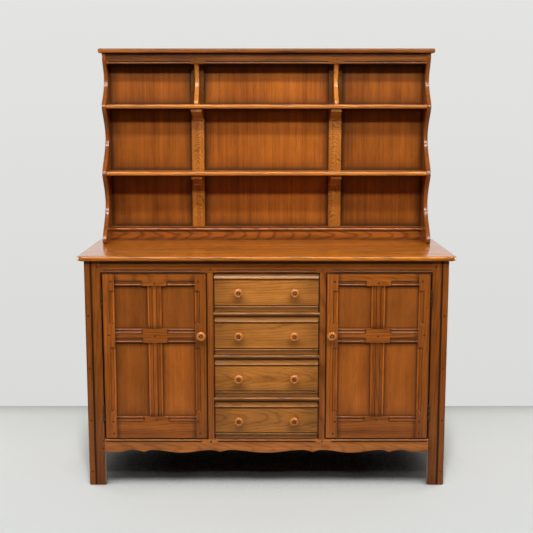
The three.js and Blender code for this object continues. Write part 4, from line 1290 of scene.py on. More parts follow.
@dataclass
class Base:
    """The cupboard base without its doors and drawers.

    Attributes:
        finishes: The finishes.
        stile_width: Width of the stiles of the side frames.
        frame_thickness: Thickness of the side frames.
        top_rail: Height of their top rails.
        bottom_rail: Height of their bottom rails.
        rail_floor_gap: Height of the bottom rails above the floor.
        mid_rail: Height of their middle rails and of those of the doors.
        inner_ease: Radius of the inner arris of the front stiles.
        joint_chamfer: Width of the chamfers where a front stile meets a side frame.
        joint_band: Where the dark band along that joint starts to fade and where it ends.
        foot_radius: Radius of the lower corners of the legs.
        foot_taper: Height over which the rounded foot of a front stile runs out.
        batten: Depth of the batten of a shelf, its distance from the corners and its height.
        batten_root: How far it is let into the side frame.
        apron_rise: Rise of the apron's lower edge in its hollows.
        apron_cusp: Rise at its cusps.
        apron_end: Rise at its ends.
        apron_fade: Height over which the shape of the edge runs out in the grid.
        apron_ease: Radius of its lower arris.
        apron_turns: Places of its turns, as shares of half its width.
        apron_stain: Places across the apron and the share of painted shade there, darker toward its ends.
        rail_nose: Radius of the front edge of the rails between the drawers.
        rail_tones: Their lightness, from the top.
        peg_places: Places of the pegs, as the right half shows them.
    """

    finishes: Finishes
    stile_width: float = 46.0
    frame_thickness: float = 20.8
    top_rail: float = 55.0
    bottom_rail: float = 85.0
    rail_floor_gap: float = 120.0
    mid_rail: float = 51.5
    inner_ease: float = 0.9
    joint_chamfer: float = 1.5
    joint_band: tuple[float, float] = (6.4, 7.6)
    foot_radius: float = 7.0
    foot_taper: float = 40.0
    batten: Vector = (12.0, 28.0, 14.0)
    batten_root: float = 2.0
    apron_rise: float = 10.8
    apron_cusp: float = 2.9
    apron_end: float = 3.4
    apron_fade: float = 34.0
    apron_ease: float = 1.0
    apron_turns: tuple[float, ...] = (0, 0.225, 0.286, 0.347, 0.522, 0.706, 0.758, 0.827, 0.915)
    apron_stain: tuple[tuple[float, ...], ...] = ((-640, -400, -150, 0, 150, 400, 640),
                                                  (0.24, 0.16, 0.03, 0, 0.05, 0.26, 0.36))
    rail_nose: float = 6.6
    rail_tones: Vector = (0.47, 0.53, 0.53)
    peg_places: tuple[tuple[float, float], ...] = (
        (648, 643), (648, 445), (648, 249), (648, 52), (611.5, 823), (603, 171), (606, 142),
        (205.5, 168), (203, 813))

    def mid_rail_span(self) -> tuple[float, float]:
        """Limits of the middle rails, level with the second drawer."""
        centre = Place("drawer_front_2").middle[2]
        return centre - self.mid_rail / 2, centre + self.mid_rail / 2

    def build(self) -> None:
        """Makes every piece of the base."""
        board = sawn(Cut.RIFT, X_AXIS, Z_AXIS, (0, -60, Place("worktop").high[2]), 11)
        NosedSlab(nose=7.0, corner=26.0).build(stand_in("worktop", "elm", self.finishes.top), board)
        for side in Side:
            self.front_stile(side)
            self.side_frame(side)
            self.side_panel(side)
        self.rails()
        self.carried()
        y = Place("front_stile_left").low[1]
        Pegs().build(Tag("carcase_pegs", "elm", self.finishes.peg),
                     [(side.value * x, y, z) for x, z in self.peg_places for side in Side])

    def front_stile(self, side: Side) -> None:
        """Makes one front stile: eased arrises, a chamfer along the joint and a rounded foot.

        Args:
            side: Which one.
        """
        tag = stand_in(side.of("front_stile"), "elm", self.finishes.elm)
        low, high, sign = tag.place.low, tag.place.high, side.value
        inner, outer = (low[0], high[0]) if side is Side.RIGHT else (high[0], low[0])
        joint = np.array([0, self.joint_chamfer, self.joint_chamfer * 2, *self.joint_band])
        a, b = grid(lines(arris(inner, sign, self.inner_ease), outer - sign * joint,
                          inner + sign * np.linspace(1, self.foot_radius, 7)),
                    lines([low[2]], np.linspace(2, self.foot_taper, 8), np.linspace(60, high[2], 12)))
        from_inner, from_joint = (a - inner) * sign, (outer - a) * sign
        up = b + rounded(from_inner, self.foot_radius) * np.clip(1 - b / self.foot_taper, 0, 1)
        sunk = np.maximum(rounded(from_inner, self.inner_ease),
                          np.clip(self.joint_chamfer - from_joint, 0, None))
        dark = np.maximum(np.interp(from_joint, [0, *self.joint_band], [1, 1, 0]),
                          np.interp(b, [0, 40, 130, 200], [0.5, 0.35, 0.25, 0]))
        plank = sawn(Cut.RIFT, Z_AXIS, FRONTWARD, (tag.place.middle[0], low[1], 400), 21 + sign,
                     0.7 - 0.04 * sign)
        faced_board(tag, a, up, sunk, plank, dark)

    @staticmethod
    def side_face(side: Side, place: Place) -> Face:
        """The outer face of a board in one side."""
        outer = place.high[0] if side is Side.RIGHT else place.low[0]
        return Face((outer, 0, 0), Y_AXIS, Z_AXIS, (-float(side.value), 0.0, 0.0))

    def side_openings(self, place: Place) -> list[Opening]:
        """Finds the two openings of a side frame.

        Args:
            place: Box of the frame.

        Returns:
            The lower and the upper opening.
        """
        y0, y1 = place.low[1] + self.stile_width, place.high[1] - self.stile_width
        mid = self.mid_rail_span()
        low = self.rail_floor_gap + self.bottom_rail
        return [Opening(y0, y1, low, mid[0]), Opening(y0, y1, mid[1], place.high[2] - self.top_rail)]

    def side_frame(self, side: Side) -> None:
        """Makes one side frame with its two legs, moulded openings and the batten of the shelf.

        Args:
            side: Which one.
        """
        tag = stand_in(side.of("side_frame"), "elm", self.finishes.elm, "joinery")
        place, face = tag.place, self.side_face(side, tag.place)
        outer, outward = face.origin[0], (float(side.value), 0.0, 0.0)
        openings, gap = self.side_openings(place), self.rail_floor_gap
        seed = 40 + side.value
        planks = [sawn(Cut.RIFT, Z_AXIS, outward, (outer, place.low[1] + 23, 400), seed, 0.68),
                  sawn(Cut.RIFT, Z_AXIS, outward, (outer, place.high[1] - 23, 400), seed + 3, 0.97)]
        planks += [sawn(Cut.RIFT, Y_AXIS, outward, (outer, place.middle[1], z), seed + 7 + k)
                   for k, z in enumerate((gap + 40, sum(self.mid_rail_span()) / 2, openings[1].b1 + 25))]
        skin = Skin()
        joinery = MouldedFrame(face, (place.low[1], place.high[1]), (0.0, place.high[2]),
                               self.frame_thickness, openings, gap, self.foot_radius)
        joinery.build(skin, planks, (), [*arris(0, 1, self.foot_radius, 6), gap, 60.0])
        deep, end, tall = self.batten
        inner = outer - side.value * self.frame_thickness
        near, far = sorted((inner + side.value * self.batten_root, inner - side.value * deep))
        top = Place(side.of("cupboard_shelf")).low[2] - CLEAR
        plain_board(skin, np.array([near, place.low[1] + end, top - tall]),
                    np.array([far, place.high[1] - end, top]), planks[2])
        skin.piece(tag)

    def side_panel(self, side: Side) -> None:
        """Makes the panel behind a side frame, with stain and painted shade along the edges of each field."""
        tag = stand_in(side.of("side_panel"), "elm_panel", self.finishes.panel)
        panel(tag, self.side_face(side, tag.place), self.side_openings(Place(side.of("side_frame"))),
              60 + side.value)

    def rails(self) -> None:
        """Makes the top rail, the apron and the rails between the drawers."""
        stile, part = Place("front_stile_right").low[0], Place("partition_right").high[0]
        inner = Place("drawer_rail_1").high[0]
        stop = BEAD.run_in.stop
        runs = [(-stile - stop, -part), (-inner, inner), (part, stile + stop)]
        moulded_rail(stand_in("front_top_rail", "elm", self.finishes.elm), runs, 31, 0.67)
        self.apron(runs)
        for number, tone in enumerate(self.rail_tones, 1):
            tag = stand_in(f"drawer_rail_{number}", "elm", self.finishes.light)
            plank = sawn(Cut.RIFT, X_AXIS, FRONTWARD, (0, tag.place.low[1], tag.place.middle[2]),
                         33 + number, tone)
            NosedShelf(self.rail_nose).build(tag, plank)

    def apron(self, runs: list[tuple[float, float]]) -> None:
        """Makes the apron: its lower edge goes by half cosine waves between its turns, pointed at
        the cusps, and the beads run along its upper edge.

        Args:
            runs: Stretches in which the beads run.
        """
        tag = stand_in("front_apron", "elm", self.finishes.apron)
        low, half, tall = tag.place.low, tag.place.high[0], tag.place.high[2] - tag.place.low[2]
        rise, cusp = self.apron_rise, self.apron_cusp
        rises = np.array([0, rise, cusp, rise, 0, rise, cusp, rise, self.apron_end])
        turns = np.array(self.apron_turns) * half
        x = lines(between(turns, 13), [half], arris(half, -1, ARRIS))
        x = lines(-x, x, BEAD.stops(runs))
        x = x[(x >= -half) & (x <= half)]
        k = np.clip(np.searchsorted(turns, abs(x), side="right") - 1, 0, len(turns) - 2)
        t = np.clip((abs(x) - turns[k]) / (turns[k + 1] - turns[k]), 0, 1)
        wave = (1 - np.cos(math.pi * t)) / 2
        wave = np.where(rises[k + 1] == cusp, 1 - np.cos(math.pi * t / 2), wave)
        wave = np.where(rises[k] == cusp, np.sin(math.pi * t / 2), wave)
        edge = rises[k] + (rises[k + 1] - rises[k]) * wave
        a, b = grid(x, lines(arris(0, 1, self.apron_ease), [8, 14, 20, 30], tall - BEAD.marks()))
        up = low[2] + b + edge[:, None] * np.clip(1 - b / self.apron_fade, 0, 1)
        depth, dark = BEAD.relief(tall - b, a, runs)
        # Painted shade toward the ends of the apron; stain and painted shade in the quirks of its beads.
        faced_board(tag, a, up, np.maximum(rounded(b, self.apron_ease), depth),
                    sawn(Cut.CROWN, X_AXIS, FRONTWARD, (0, low[1], 150), 35, 1.34),
                    np.maximum(dark, np.interp(a, *self.apron_stain)))

    def carried(self) -> None:
        """Gives the CAD nodes that stay their finishes."""
        kinds = {"partition": self.finishes.partition, "base_floor": self.finishes.inside,
                 "base_back": self.finishes.ply, "cupboard_shelf": self.finishes.inside,
                 "drawer_box": self.finishes.inside, "hinge": self.finishes.brass}
        for name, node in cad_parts.items():
            for start, material in kinds.items():
                if name.startswith(start):
                    node.data.materials.clear()
                    node.data.materials.append(material)


# Doors


@dataclass
class Door:
    """A joined door with four openings, its panel, its knob and its pegs.

    Attributes:
        side: Which door it is.
        finishes: The finishes.
        stile: Width of its stiles.
        muntin: Width of its muntin.
        top_rail: Height of its top rail.
        bottom_rail: Height of its bottom rail.
        thickness: Thickness of its frame.
        panel_tones: Lightness of the two boards of its panel.
        panel_field_shade: Least share of painted shade on its fields, which darkens the upper ones: left
            lower, left upper, right lower, right upper.
        pegs: Places of the pegs, as the left door shows them.
    """

    side: Side
    finishes: Finishes
    stile: float = 44.0
    muntin: float = 51.0
    top_rail: float = 46.0
    bottom_rail: float = 85.0
    thickness: float = 18.0
    panel_tones: tuple[float, float] = (1.16, 1.13)
    panel_field_shade: tuple[float, float, float, float] = (0.0, 0.38, 0.0, 0.33)
    pegs: tuple[tuple[float, float], ...] = (
        (-564, 770), (-247, 769), (-405.6, 763.5), (-406.5, 567.4), (-575, 571.5), (-565, 244.5),
        (-564, 199), (-406.5, 252), (-252.5, 244), (-245, 199))

    def openings(self, place: Place, mid: tuple[float, float]) -> list[Opening]:
        """The four openings: stopped on the stiles, through on the muntin, and on the rails
        stopped at the muntin.

        Args:
            place: Box of the frame.
            mid: Limits of the middle rail.

        Returns:
            The openings: left lower, left upper, right lower, right upper.
        """
        x0, x1 = place.low[0] + self.stile, place.high[0] - self.stile
        m0, m1 = place.middle[0] - self.muntin / 2, place.middle[0] + self.muntin / 2
        rows = [(place.low[2] + self.bottom_rail, mid[0]), (mid[1], place.high[2] - self.top_rail)]
        clear, shut = (False, False), (True, True)
        return ([Opening(x0, m0, *row, shut, clear, (False, True)) for row in rows]
                + [Opening(m1, x1, *row, clear, shut, (True, False)) for row in rows])

    def build(self, mid: tuple[float, float]) -> None:
        """Makes the door's pieces.

        Args:
            mid: Limits of its middle rail.
        """
        body = self.side.of("door")
        seed = 80 + self.side.value * 10
        tag = stand_in(self.side.of("door_frame"), "elm", self.finishes.elm, "joinery", body)
        low, high = tag.place.low, tag.place.high
        y = low[1]
        openings = self.openings(tag.place, mid)
        centre = (openings[0].a1 + openings[2].a0) / 2
        planks = [sawn(cut, along, FRONTWARD, (x, y, z), seed + k, tone)
                  for k, (cut, along, x, z, tone) in enumerate((
                      (Cut.RIFT, Z_AXIS, low[0] + 22, 480, 1.0), (Cut.RIFT, Z_AXIS, high[0] - 22, 480, 0.8),
                      (Cut.RIFT, X_AXIS, centre, low[2] + 42, 0.92),
                      (Cut.RIFT, X_AXIS, centre, sum(mid) / 2, 1.0),
                      (Cut.CROWN, X_AXIS, centre, high[2] - 23, 0.95),
                      (Cut.RIFT, Z_AXIS, centre, 400, 0.9)))]
        skin = Skin()
        # Painted shade in the gap round the door, along its outer arrises.
        joinery = MouldedFrame(Face((0, y, 0)), (low[0], high[0]), (low[2], high[2]), self.thickness,
                               openings, edge_stain=1.0)
        bottom, _, _, top = joinery.rails
        joinery.build(skin, planks, [centre],
                      [bottom - 0.5, top + 0.5, mid[0] + 0.5, mid[1] - 0.5, sum(mid) / 2])
        skin.piece(tag)
        sheet = stand_in(self.side.of("door_panel"), "elm_panel", self.finishes.panel, body=body)
        # Painted shade on the upper fields, under the rails above them.
        panel(sheet, Face((0, sheet.place.low[1], 0)), openings, seed + 6, tones=self.panel_tones,
              fields=self.panel_field_shade)
        Knob().build(stand_in(self.side.of("door_knob"), "knob_elm", self.finishes.knob, "turned", body),
                     seed + 9)
        Pegs().build(Tag(self.side.of("door_pegs"), "elm", self.finishes.peg, body=body),
                     [(-self.side.value * px, y, pz) for px, pz in self.pegs])


# Drawers


@dataclass
class Drawer:
    """A drawer's moulded front and knobs; its box stays the CAD node.

    Attributes:
        number: Which drawer it is, from the top.
        finishes: The finishes.
        cut: How its front was sawn.
        tone: Share of the finish's own lightness.
        moulding: Height of each moulding.
        quirk: Width of the quirk beside the field.
        bead: Radius of the bead.
        cove_sink: Depth at which the bead springs.
        edge_sink: Depth at the edge.
        fillet: Height of the flat at the edge.
        ease: Radius of the arrises at the ends.
    """

    number: int
    finishes: Finishes
    cut: Cut
    tone: float
    moulding: float = 24.0
    quirk: float = 1.8
    bead: float = 3.5
    cove_sink: float = 4.5
    edge_sink: float = 8.5
    fillet: float = 3.0
    ease: float = 0.9

    @property
    def spring(self) -> float:
        """Distance from the edge at which the bead springs."""
        return self.moulding - self.quirk - self.bead * 2

    def section(self, e: Array) -> Array:
        """Works out the section: a flat, a bent fall for the cove, an arc for the bead, the quirk's
        flank and the field.

        Args:
            e: Distance from the lower or upper edge.

        Returns:
            The depth.
        """
        start, end = self.spring, self.spring + 2 * self.bead
        fall = np.clip((e - self.fillet) / (start - self.fillet), 0, 1)
        cove = self.edge_sink - (self.edge_sink - self.cove_sink) * fall**1.7
        bead = self.cove_sink - np.sqrt(np.maximum(self.bead**2 - (e - (start + self.bead)) ** 2, 0))
        quirk = np.interp(e, [end, self.moulding], [self.cove_sink, 0])
        return np.where(e < start, cove, np.where(e < end, bead, quirk))

    def build(self) -> None:
        """Makes the front and the two knobs."""
        body = f"drawer_{self.number}"
        tag = stand_in(f"drawer_front_{self.number}", "elm_light", self.finishes.drawer, "moulded", body)
        low, high, start = tag.place.low, tag.place.high, self.spring
        tall = high[2] - low[2]
        dark_end = self.moulding + np.array([0, 1, 3])
        marks = np.array([0.6, self.fillet, *np.linspace(self.fillet, start, 6),
                          *(start + self.bead * (1 - np.cos(np.linspace(0, math.pi, 9)))),
                          *dark_end])
        band = np.array([3, 4])
        a, b = grid(lines(ends(low[0], high[0], self.ease), low[0] + band, high[0] - band,
                          np.linspace(low[0] + 30, high[0] - 30, 9)),
                    lines([0], marks, [tall / 2], tall - marks, [tall]))
        e, end = margin(b, 0, tall), margin(a, low[0], high[0])
        # Painted shade in the gaps at the top, bottom and ends, fading over the ends, and in the coves, the
        # upper cove darker; stain and painted shade in the quirks.
        cove = np.interp(e, [0, 2, 4, 10, start, start + 1.5], [0.95, 0.9, 0.6, 0.5, 0.5, 0])
        dark = np.maximum.reduce([cove * np.where(b > tall / 2, 1, 0.35),
                                  np.interp(e, [start + 5.5, start + 6.5, *dark_end[1:]], [0, 0.9, 0.9, 0]),
                                  np.interp(end, [0, *band, 30, 90], [1, 1, 0.38, 0.3, 0])])
        plank = sawn(self.cut, X_AXIS, FRONTWARD, (0, low[1], tag.place.middle[2]), 120 + self.number,
                     self.tone)
        faced_board(tag, a, low[2] + b, self.section(e) + rounded(end, self.ease), plank, dark)
        for side in Side:
            knob = stand_in(f"{side.of('drawer_knob')}_{self.number}", "knob_elm", self.finishes.knob,
                            "turned", body)
            Knob().build(knob, 130 + self.number * 2 + side.value)


# Plate rack


@dataclass
class Rack:
    """The plate rack.

    Attributes:
        finishes: The finishes.
        foot: Depth of the sides at their feet.
        foot_radius: Radius of the front corner of a foot.
        bulges: Depths of the sides at their bulges, from the lower shelf up.
        waists: Depths between them.
        waist_share: Height of a waist between its bulges.
        pull: Power that pulls the steep part of a scallop toward the bulge.
        top_straight: Height of the straight part below the top board.
        edge: Radius of the front arrises of the sides.
        shelf_nose: Radius of the front edge of the shelves.
        muntin: Width of the back muntins.
        muntin_tones: Lightness of a muntin below the upper shelf, and its share of that above, painted darker
            as shade behind the divider.
        bracket_width: Width of the shelf brackets.
        bracket_setback: How far they stand back from the front of their shelf.
        bracket_tip: Height of their tip.
        bracket_height: Their height at the muntin.
        bracket_radius: Radius of the upper corner of the tip.
        bracket_lip: Depth over which they run straight down the muntin.
        bracket_ease: Radius of their arrises.
    """

    finishes: Finishes
    foot: float = 170.0
    foot_radius: float = 17.0
    bulges: Vector = (140.0, 114.0, 80.0)
    waists: Vector = (80.0, 44.0, 44.0)
    waist_share: float = 0.55
    pull: float = 0.756
    top_straight: float = 19.0
    edge: float = 3.0
    shelf_nose: float = 7.0
    muntin: float = 50.0
    muntin_tones: tuple[float, float] = (0.8, 0.28)
    bracket_width: float = 43.0
    bracket_setback: float = 14.0
    bracket_tip: float = 12.0
    bracket_height: float = 44.0
    bracket_radius: float = 7.0
    bracket_lip: float = 3.0
    bracket_ease: float = 1.2

    def __post_init__(self) -> None:
        """Reads the places that the scallops follow."""
        side = Place("rack_side_right")
        self.back, self.floor = side.high[1], Place("worktop").high[2]
        self.shelf = {level: Place(f"rack_shelf_{level}") for level in ("lower", "upper")}
        ends = [self.foot_radius, *(shelf.middle[2] - self.floor for shelf in self.shelf.values()),
                side.high[2] - self.floor + CLEAR - self.top_straight]
        turns = [(ends[0], self.foot)]
        for low, high, waist, bulge in zip(ends, ends[1:], self.waists, self.bulges):
            turns += [(low + (high - low) * self.waist_share, waist), (high, bulge)]
        self.turns, self.reaches = np.array(turns).T

    def depth(self, z: Array) -> Array:
        """Works out the outline of a side: half a cosine wave from each bulge to each waist, with
        its steep part pulled toward the bulge, and an arc at the foot.

        Args:
            z: Height above the worktop.

        Returns:
            The depth from the rack's back.
        """
        heights, depths = self.turns, self.reaches
        k = np.clip(np.searchsorted(heights, z, side="right") - 1, 0, len(heights) - 2)
        t = np.clip((z - heights[k]) / (heights[k + 1] - heights[k]), 0, 1)
        from_bulge = np.where(depths[k] > depths[k + 1], t, 1 - t)
        wave = (1 + np.cos(math.pi * from_bulge**self.pull)) / 2
        small, large = np.minimum(depths[k], depths[k + 1]), np.maximum(depths[k], depths[k + 1])
        foot = np.where(z < self.foot_radius, rounded(z, self.foot_radius), 0)
        return small + (large - small) * wave - foot

    def build(self) -> None:
        """Makes every piece of the rack."""
        for side in Side:
            self.rack_side(side)
            self.divider(side)
            self.muntin_and_brackets(side)
        top, frieze = Place("rack_top_board"), Place("rack_frieze")
        NosedSlab(nose=6.0, corner=9.0).build(
            Tag("rack_top", "elm_dark", self.finishes.dark, ("rack_top_board",)),
            sawn(Cut.RIFT, X_AXIS, Z_AXIS, (0, top.low[1], top.high[2]), 150, 1.4))
        half, y = frieze.high[0], frieze.low[1]
        moulded_rail(stand_in("rack_frieze", "elm_dark", self.finishes.dark),
                     [(-half - 4, -288), (-249, 252), (295, half + 4)], 151, 1.0)
        self.shelves()
        self.plinth_rail()
        self.back_boards()
        Pegs().build(Tag("rack_pegs", "elm_dark", self.finishes.peg), [(-278, y, 1585.5), (277, y, 1582)])

    def upright(self, tag: Tag, z: Array, reach: Array, plank: Plank) -> None:
        """Makes an upright board whose front edge has its own depth at each height.

        Args:
            tag: Says what the piece is.
            z: Heights of the grid lines above the worktop.
            reach: Depth at each height, from the rack's back.
            plank: Its plank.
        """
        back = self.back - tag.place.high[1]
        near = self.edge * (1 - np.cos(np.linspace(0, math.pi / 2, 6)))
        shares = np.linspace(0, 1, 6)[1:]
        body = (reach - self.edge - back)[:, None] * (1 - shares)[None, :] + back
        y = np.concatenate([reach[:, None] - near[None, :], body], 1)
        sunk = rounded(np.broadcast_to([*near, *(self.edge + 0 * shares)], y.shape), self.edge)
        height = np.broadcast_to(z[:, None], y.shape)
        skin = Skin()
        two_sheets(skin, *(np.stack([x, self.back - y, self.floor + height], 2)
                           for x in (tag.place.low[0] + sunk, tag.place.high[0] - sunk)), [plank])
        skin.piece(tag)

    def rack_side(self, side: Side) -> None:
        """Makes one scalloped side.

        Args:
            side: Which one.
        """
        tag = stand_in(side.of("rack_side"), "elm", self.finishes.elm)
        low, high = tag.place.low[2] - self.floor, tag.place.high[2] - self.floor
        z = lines([low, high], arris(low, 1, self.foot_radius, 6), between(self.turns, 21))
        plank = sawn(Cut.RIFT, Z_AXIS, (float(side.value), 0, 0), (tag.place.middle[0], 200, 1200),
                     160 + side.value, 0.7)
        self.upright(tag, z, self.depth(z), plank)

    def divider(self, side: Side) -> None:
        """Makes one divider between the upper shelf and the frieze.

        Args:
            side: Which one.
        """
        tag = stand_in(side.of("rack_divider"), "elm", self.finishes.light)
        low, high = tag.place.low[2] - self.floor, tag.place.high[2] - self.floor
        z = lines(between(self.turns, 15), [low, high])
        z = z[(z >= low) & (z <= high)]
        limit = self.back - self.shelf["upper"].low[1] - self.shelf_nose
        plank = sawn(Cut.RIFT, Z_AXIS, FRONTWARD, (tag.place.middle[0], 200, 1500), 170 + side.value, 1.1)
        self.upright(tag, z, np.minimum(self.depth(z), limit), plank)

    def muntin_and_brackets(self, side: Side) -> None:
        """Makes one back muntin, painted darker above the upper shelf as shade behind the divider, with the
        two brackets of the shelves.

        Args:
            side: Which one.
        """
        tag = stand_in(side.of("rack_muntin"), "elm_light", self.finishes.light, "joinery")
        x, front = tag.place.middle[0], Place("rack_divider_left").high[1] + CLEAR
        left, right = x - self.muntin / 2, x + self.muntin / 2
        below, share = self.muntin_tones
        plank = sawn(Cut.PEAKED, Z_AXIS, FRONTWARD, (x, front, 1100), 180 + side.value * 3, below)
        levels = [tag.place.low[2], self.shelf["upper"].middle[2], tag.place.high[2]]
        skin = Skin()
        # Painted shade: the board above the upper shelf takes a darker copy of the plank, as shade behind the
        # divider.
        for low, high, board in zip(levels, levels[1:], (plank, replace(plank, tone=plank.tone * share))):
            plain_board(skin, np.array([left, front, low]), np.array([right, tag.place.high[1], high]),
                        board, 1.0)
        for shelf in self.shelf.values():
            self.bracket(skin, shelf, x, front, 190 + side.value * 4)
        skin.piece(tag)

    def bracket(self, skin: Skin, shelf: Place, x: float, front: float, seed: int) -> None:
        """Adds a bracket: a thin tip with a round upper corner, then a hollow parabola down to the
        muntin.

        Args:
            skin: Takes the bracket.
            shelf: Box of the shelf it carries.
            x: Its middle.
            front: Face of the muntin.
            seed: Picks its grain.
        """
        top, start = shelf.low[2] - CLEAR, shelf.low[1] + self.bracket_setback
        reach = front - start
        span = reach - self.bracket_lip
        across = x - self.bracket_width / 2 + arris(0, 1, self.bracket_ease, 3)
        a, s = grid(lines(across, 2 * x - across),
                    lines(arris(0, 1, self.bracket_radius, 5), span * (1 - np.linspace(1, 0, 14) ** 2),
                          [span, reach, reach + 2]))
        fall = 1 - np.sqrt(np.clip((span - s) / span, 0, 1))
        lower = top - self.bracket_tip - (self.bracket_height - self.bracket_tip) * fall
        inset = rounded(margin(a, a[0, 0], a[-1, 0]), self.bracket_ease)
        depth = start + s + inset * (s < reach)
        plank = sawn(Cut.RIFT, Z_AXIS, FRONTWARD, (x, start, top), seed, 0.75)
        two_sheets(skin, np.stack([a, depth, top - rounded(s, self.bracket_radius)], 2),
                   np.stack([a, depth, lower + inset], 2), [plank])

    def shelves(self) -> None:
        """Makes the two shelves, notched round the muntins."""
        reach = self.muntin / 2
        for number, place in enumerate(self.shelf.values()):
            tag = stand_in(f"rack_shelf_{('lower', 'upper')[number]}", "elm_light", self.finishes.light)
            start = Place("rack_divider_left").high[1] - place.low[1]
            middle = [Place(side.of("rack_muntin")).middle[0] for side in Side]
            plank = sawn(Cut.RIFT, X_AXIS, Z_AXIS, (0, place.low[1], place.high[2]), 200 + number, 1.05)
            NosedShelf(self.shelf_nose).build(
                tag, plank, [(x - reach - CLEAR, x + reach + CLEAR, start) for x in middle])

    def back_boards(self) -> None:
        """Makes the boarding behind the shelves, with painted shade along the edges of each of its nine
        fields and the side bays darker than the middle one.
        """
        wall, muntin = Place("rack_side_right").low[0], Place("rack_muntin_right").middle[0]
        inner, outer = muntin - self.muntin / 2, muntin + self.muntin / 2
        lower, upper = self.shelf.values()
        rows = [(Place("rack_plinth_rail").high[2], lower.low[2]), (lower.high[2], upper.low[2]),
                (upper.high[2], Place("rack_frieze").low[2])]
        fields = [Opening(*across, *row) for across in ((-wall, -outer), (-inner, inner), (outer, wall))
                  for row in rows]
        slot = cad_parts["rack_back"].data.materials[0].name
        tag = stand_in("rack_back", slot, self.finishes.back, "boards")
        # Painted shade along the edges of the fields, under shelves and beside muntins and sides; the side
        # bays darker than the middle one, the right one most.
        panel(tag, Face((0, tag.place.low[1], 0)), fields, 220, 1.5, (0.9, 1.0, 0.78),
              (0.95, 0.78, 0.4, 0.14, 0))

    def plinth_rail(self) -> None:
        """Makes the rail that stands on the worktop: a small arris, a quirk and a bead near its top."""
        tag = stand_in("rack_plinth_rail", "elm_light", self.finishes.plinth)
        low, high = tag.place.low, tag.place.high
        proud, fillet, quirk = 0.25, 2, 4
        start, radius = 6.5, 5.75
        end = start + 2 * radius
        bead = start + radius * (1 - np.cos(np.linspace(0, math.pi, 9)))
        a, e = grid(lines(ends(low[0], high[0], ARRIS), np.linspace(low[0] + 4, high[0] - 4, 12)),
                    lines([0, 0.6, fillet, start], bead, [end + 1, end + 2, 25, 40, high[2] - low[2]]))
        arc = np.sqrt(np.maximum(1 - ((e - start - radius) / radius) ** 2, 0))
        plain = np.interp(e, [0, fillet, fillet + HAIR, start, end + 1, end + 2],
                          [fillet, fillet, fillet, quirk, quirk, 0])
        sunk = np.where((e > start) & (e < end), quirk - quirk * arc, plain) + proud
        # Stain and painted shade in the quirks and along the top edge, and painted shade at the foot where
        # the rail meets the worktop.
        dark = np.interp(e, [0, 1, 3, 4.5, 6.5, 8, 16, 17.5, 20.5, 23, 44, 52],
                         [0.5, 0, 0, 0.9, 0.9, 0, 0, 0.9, 0.9, 0, 0, 0.6])
        plank = sawn(Cut.CROWN, X_AXIS, FRONTWARD, (0, low[1], tag.place.middle[2] - 8), 210, 1.02)
        faced_board(tag, a, high[2] - e, sunk, plank, dark)


# Studio


@dataclass(frozen=True)
class Lamp:
    """A soft lamp.

    Attributes:
        place: Its place, in metres.
        size: Its height.
        power: Its power, in watts.
        wide: Its width.
        inward: Whether it looks at the middle and not straight ahead.
        glossy: Whether it shows in gloss.
    """

    place: Vector
    size: float
    power: float
    wide: float
    inward: bool = False
    glossy: bool = True


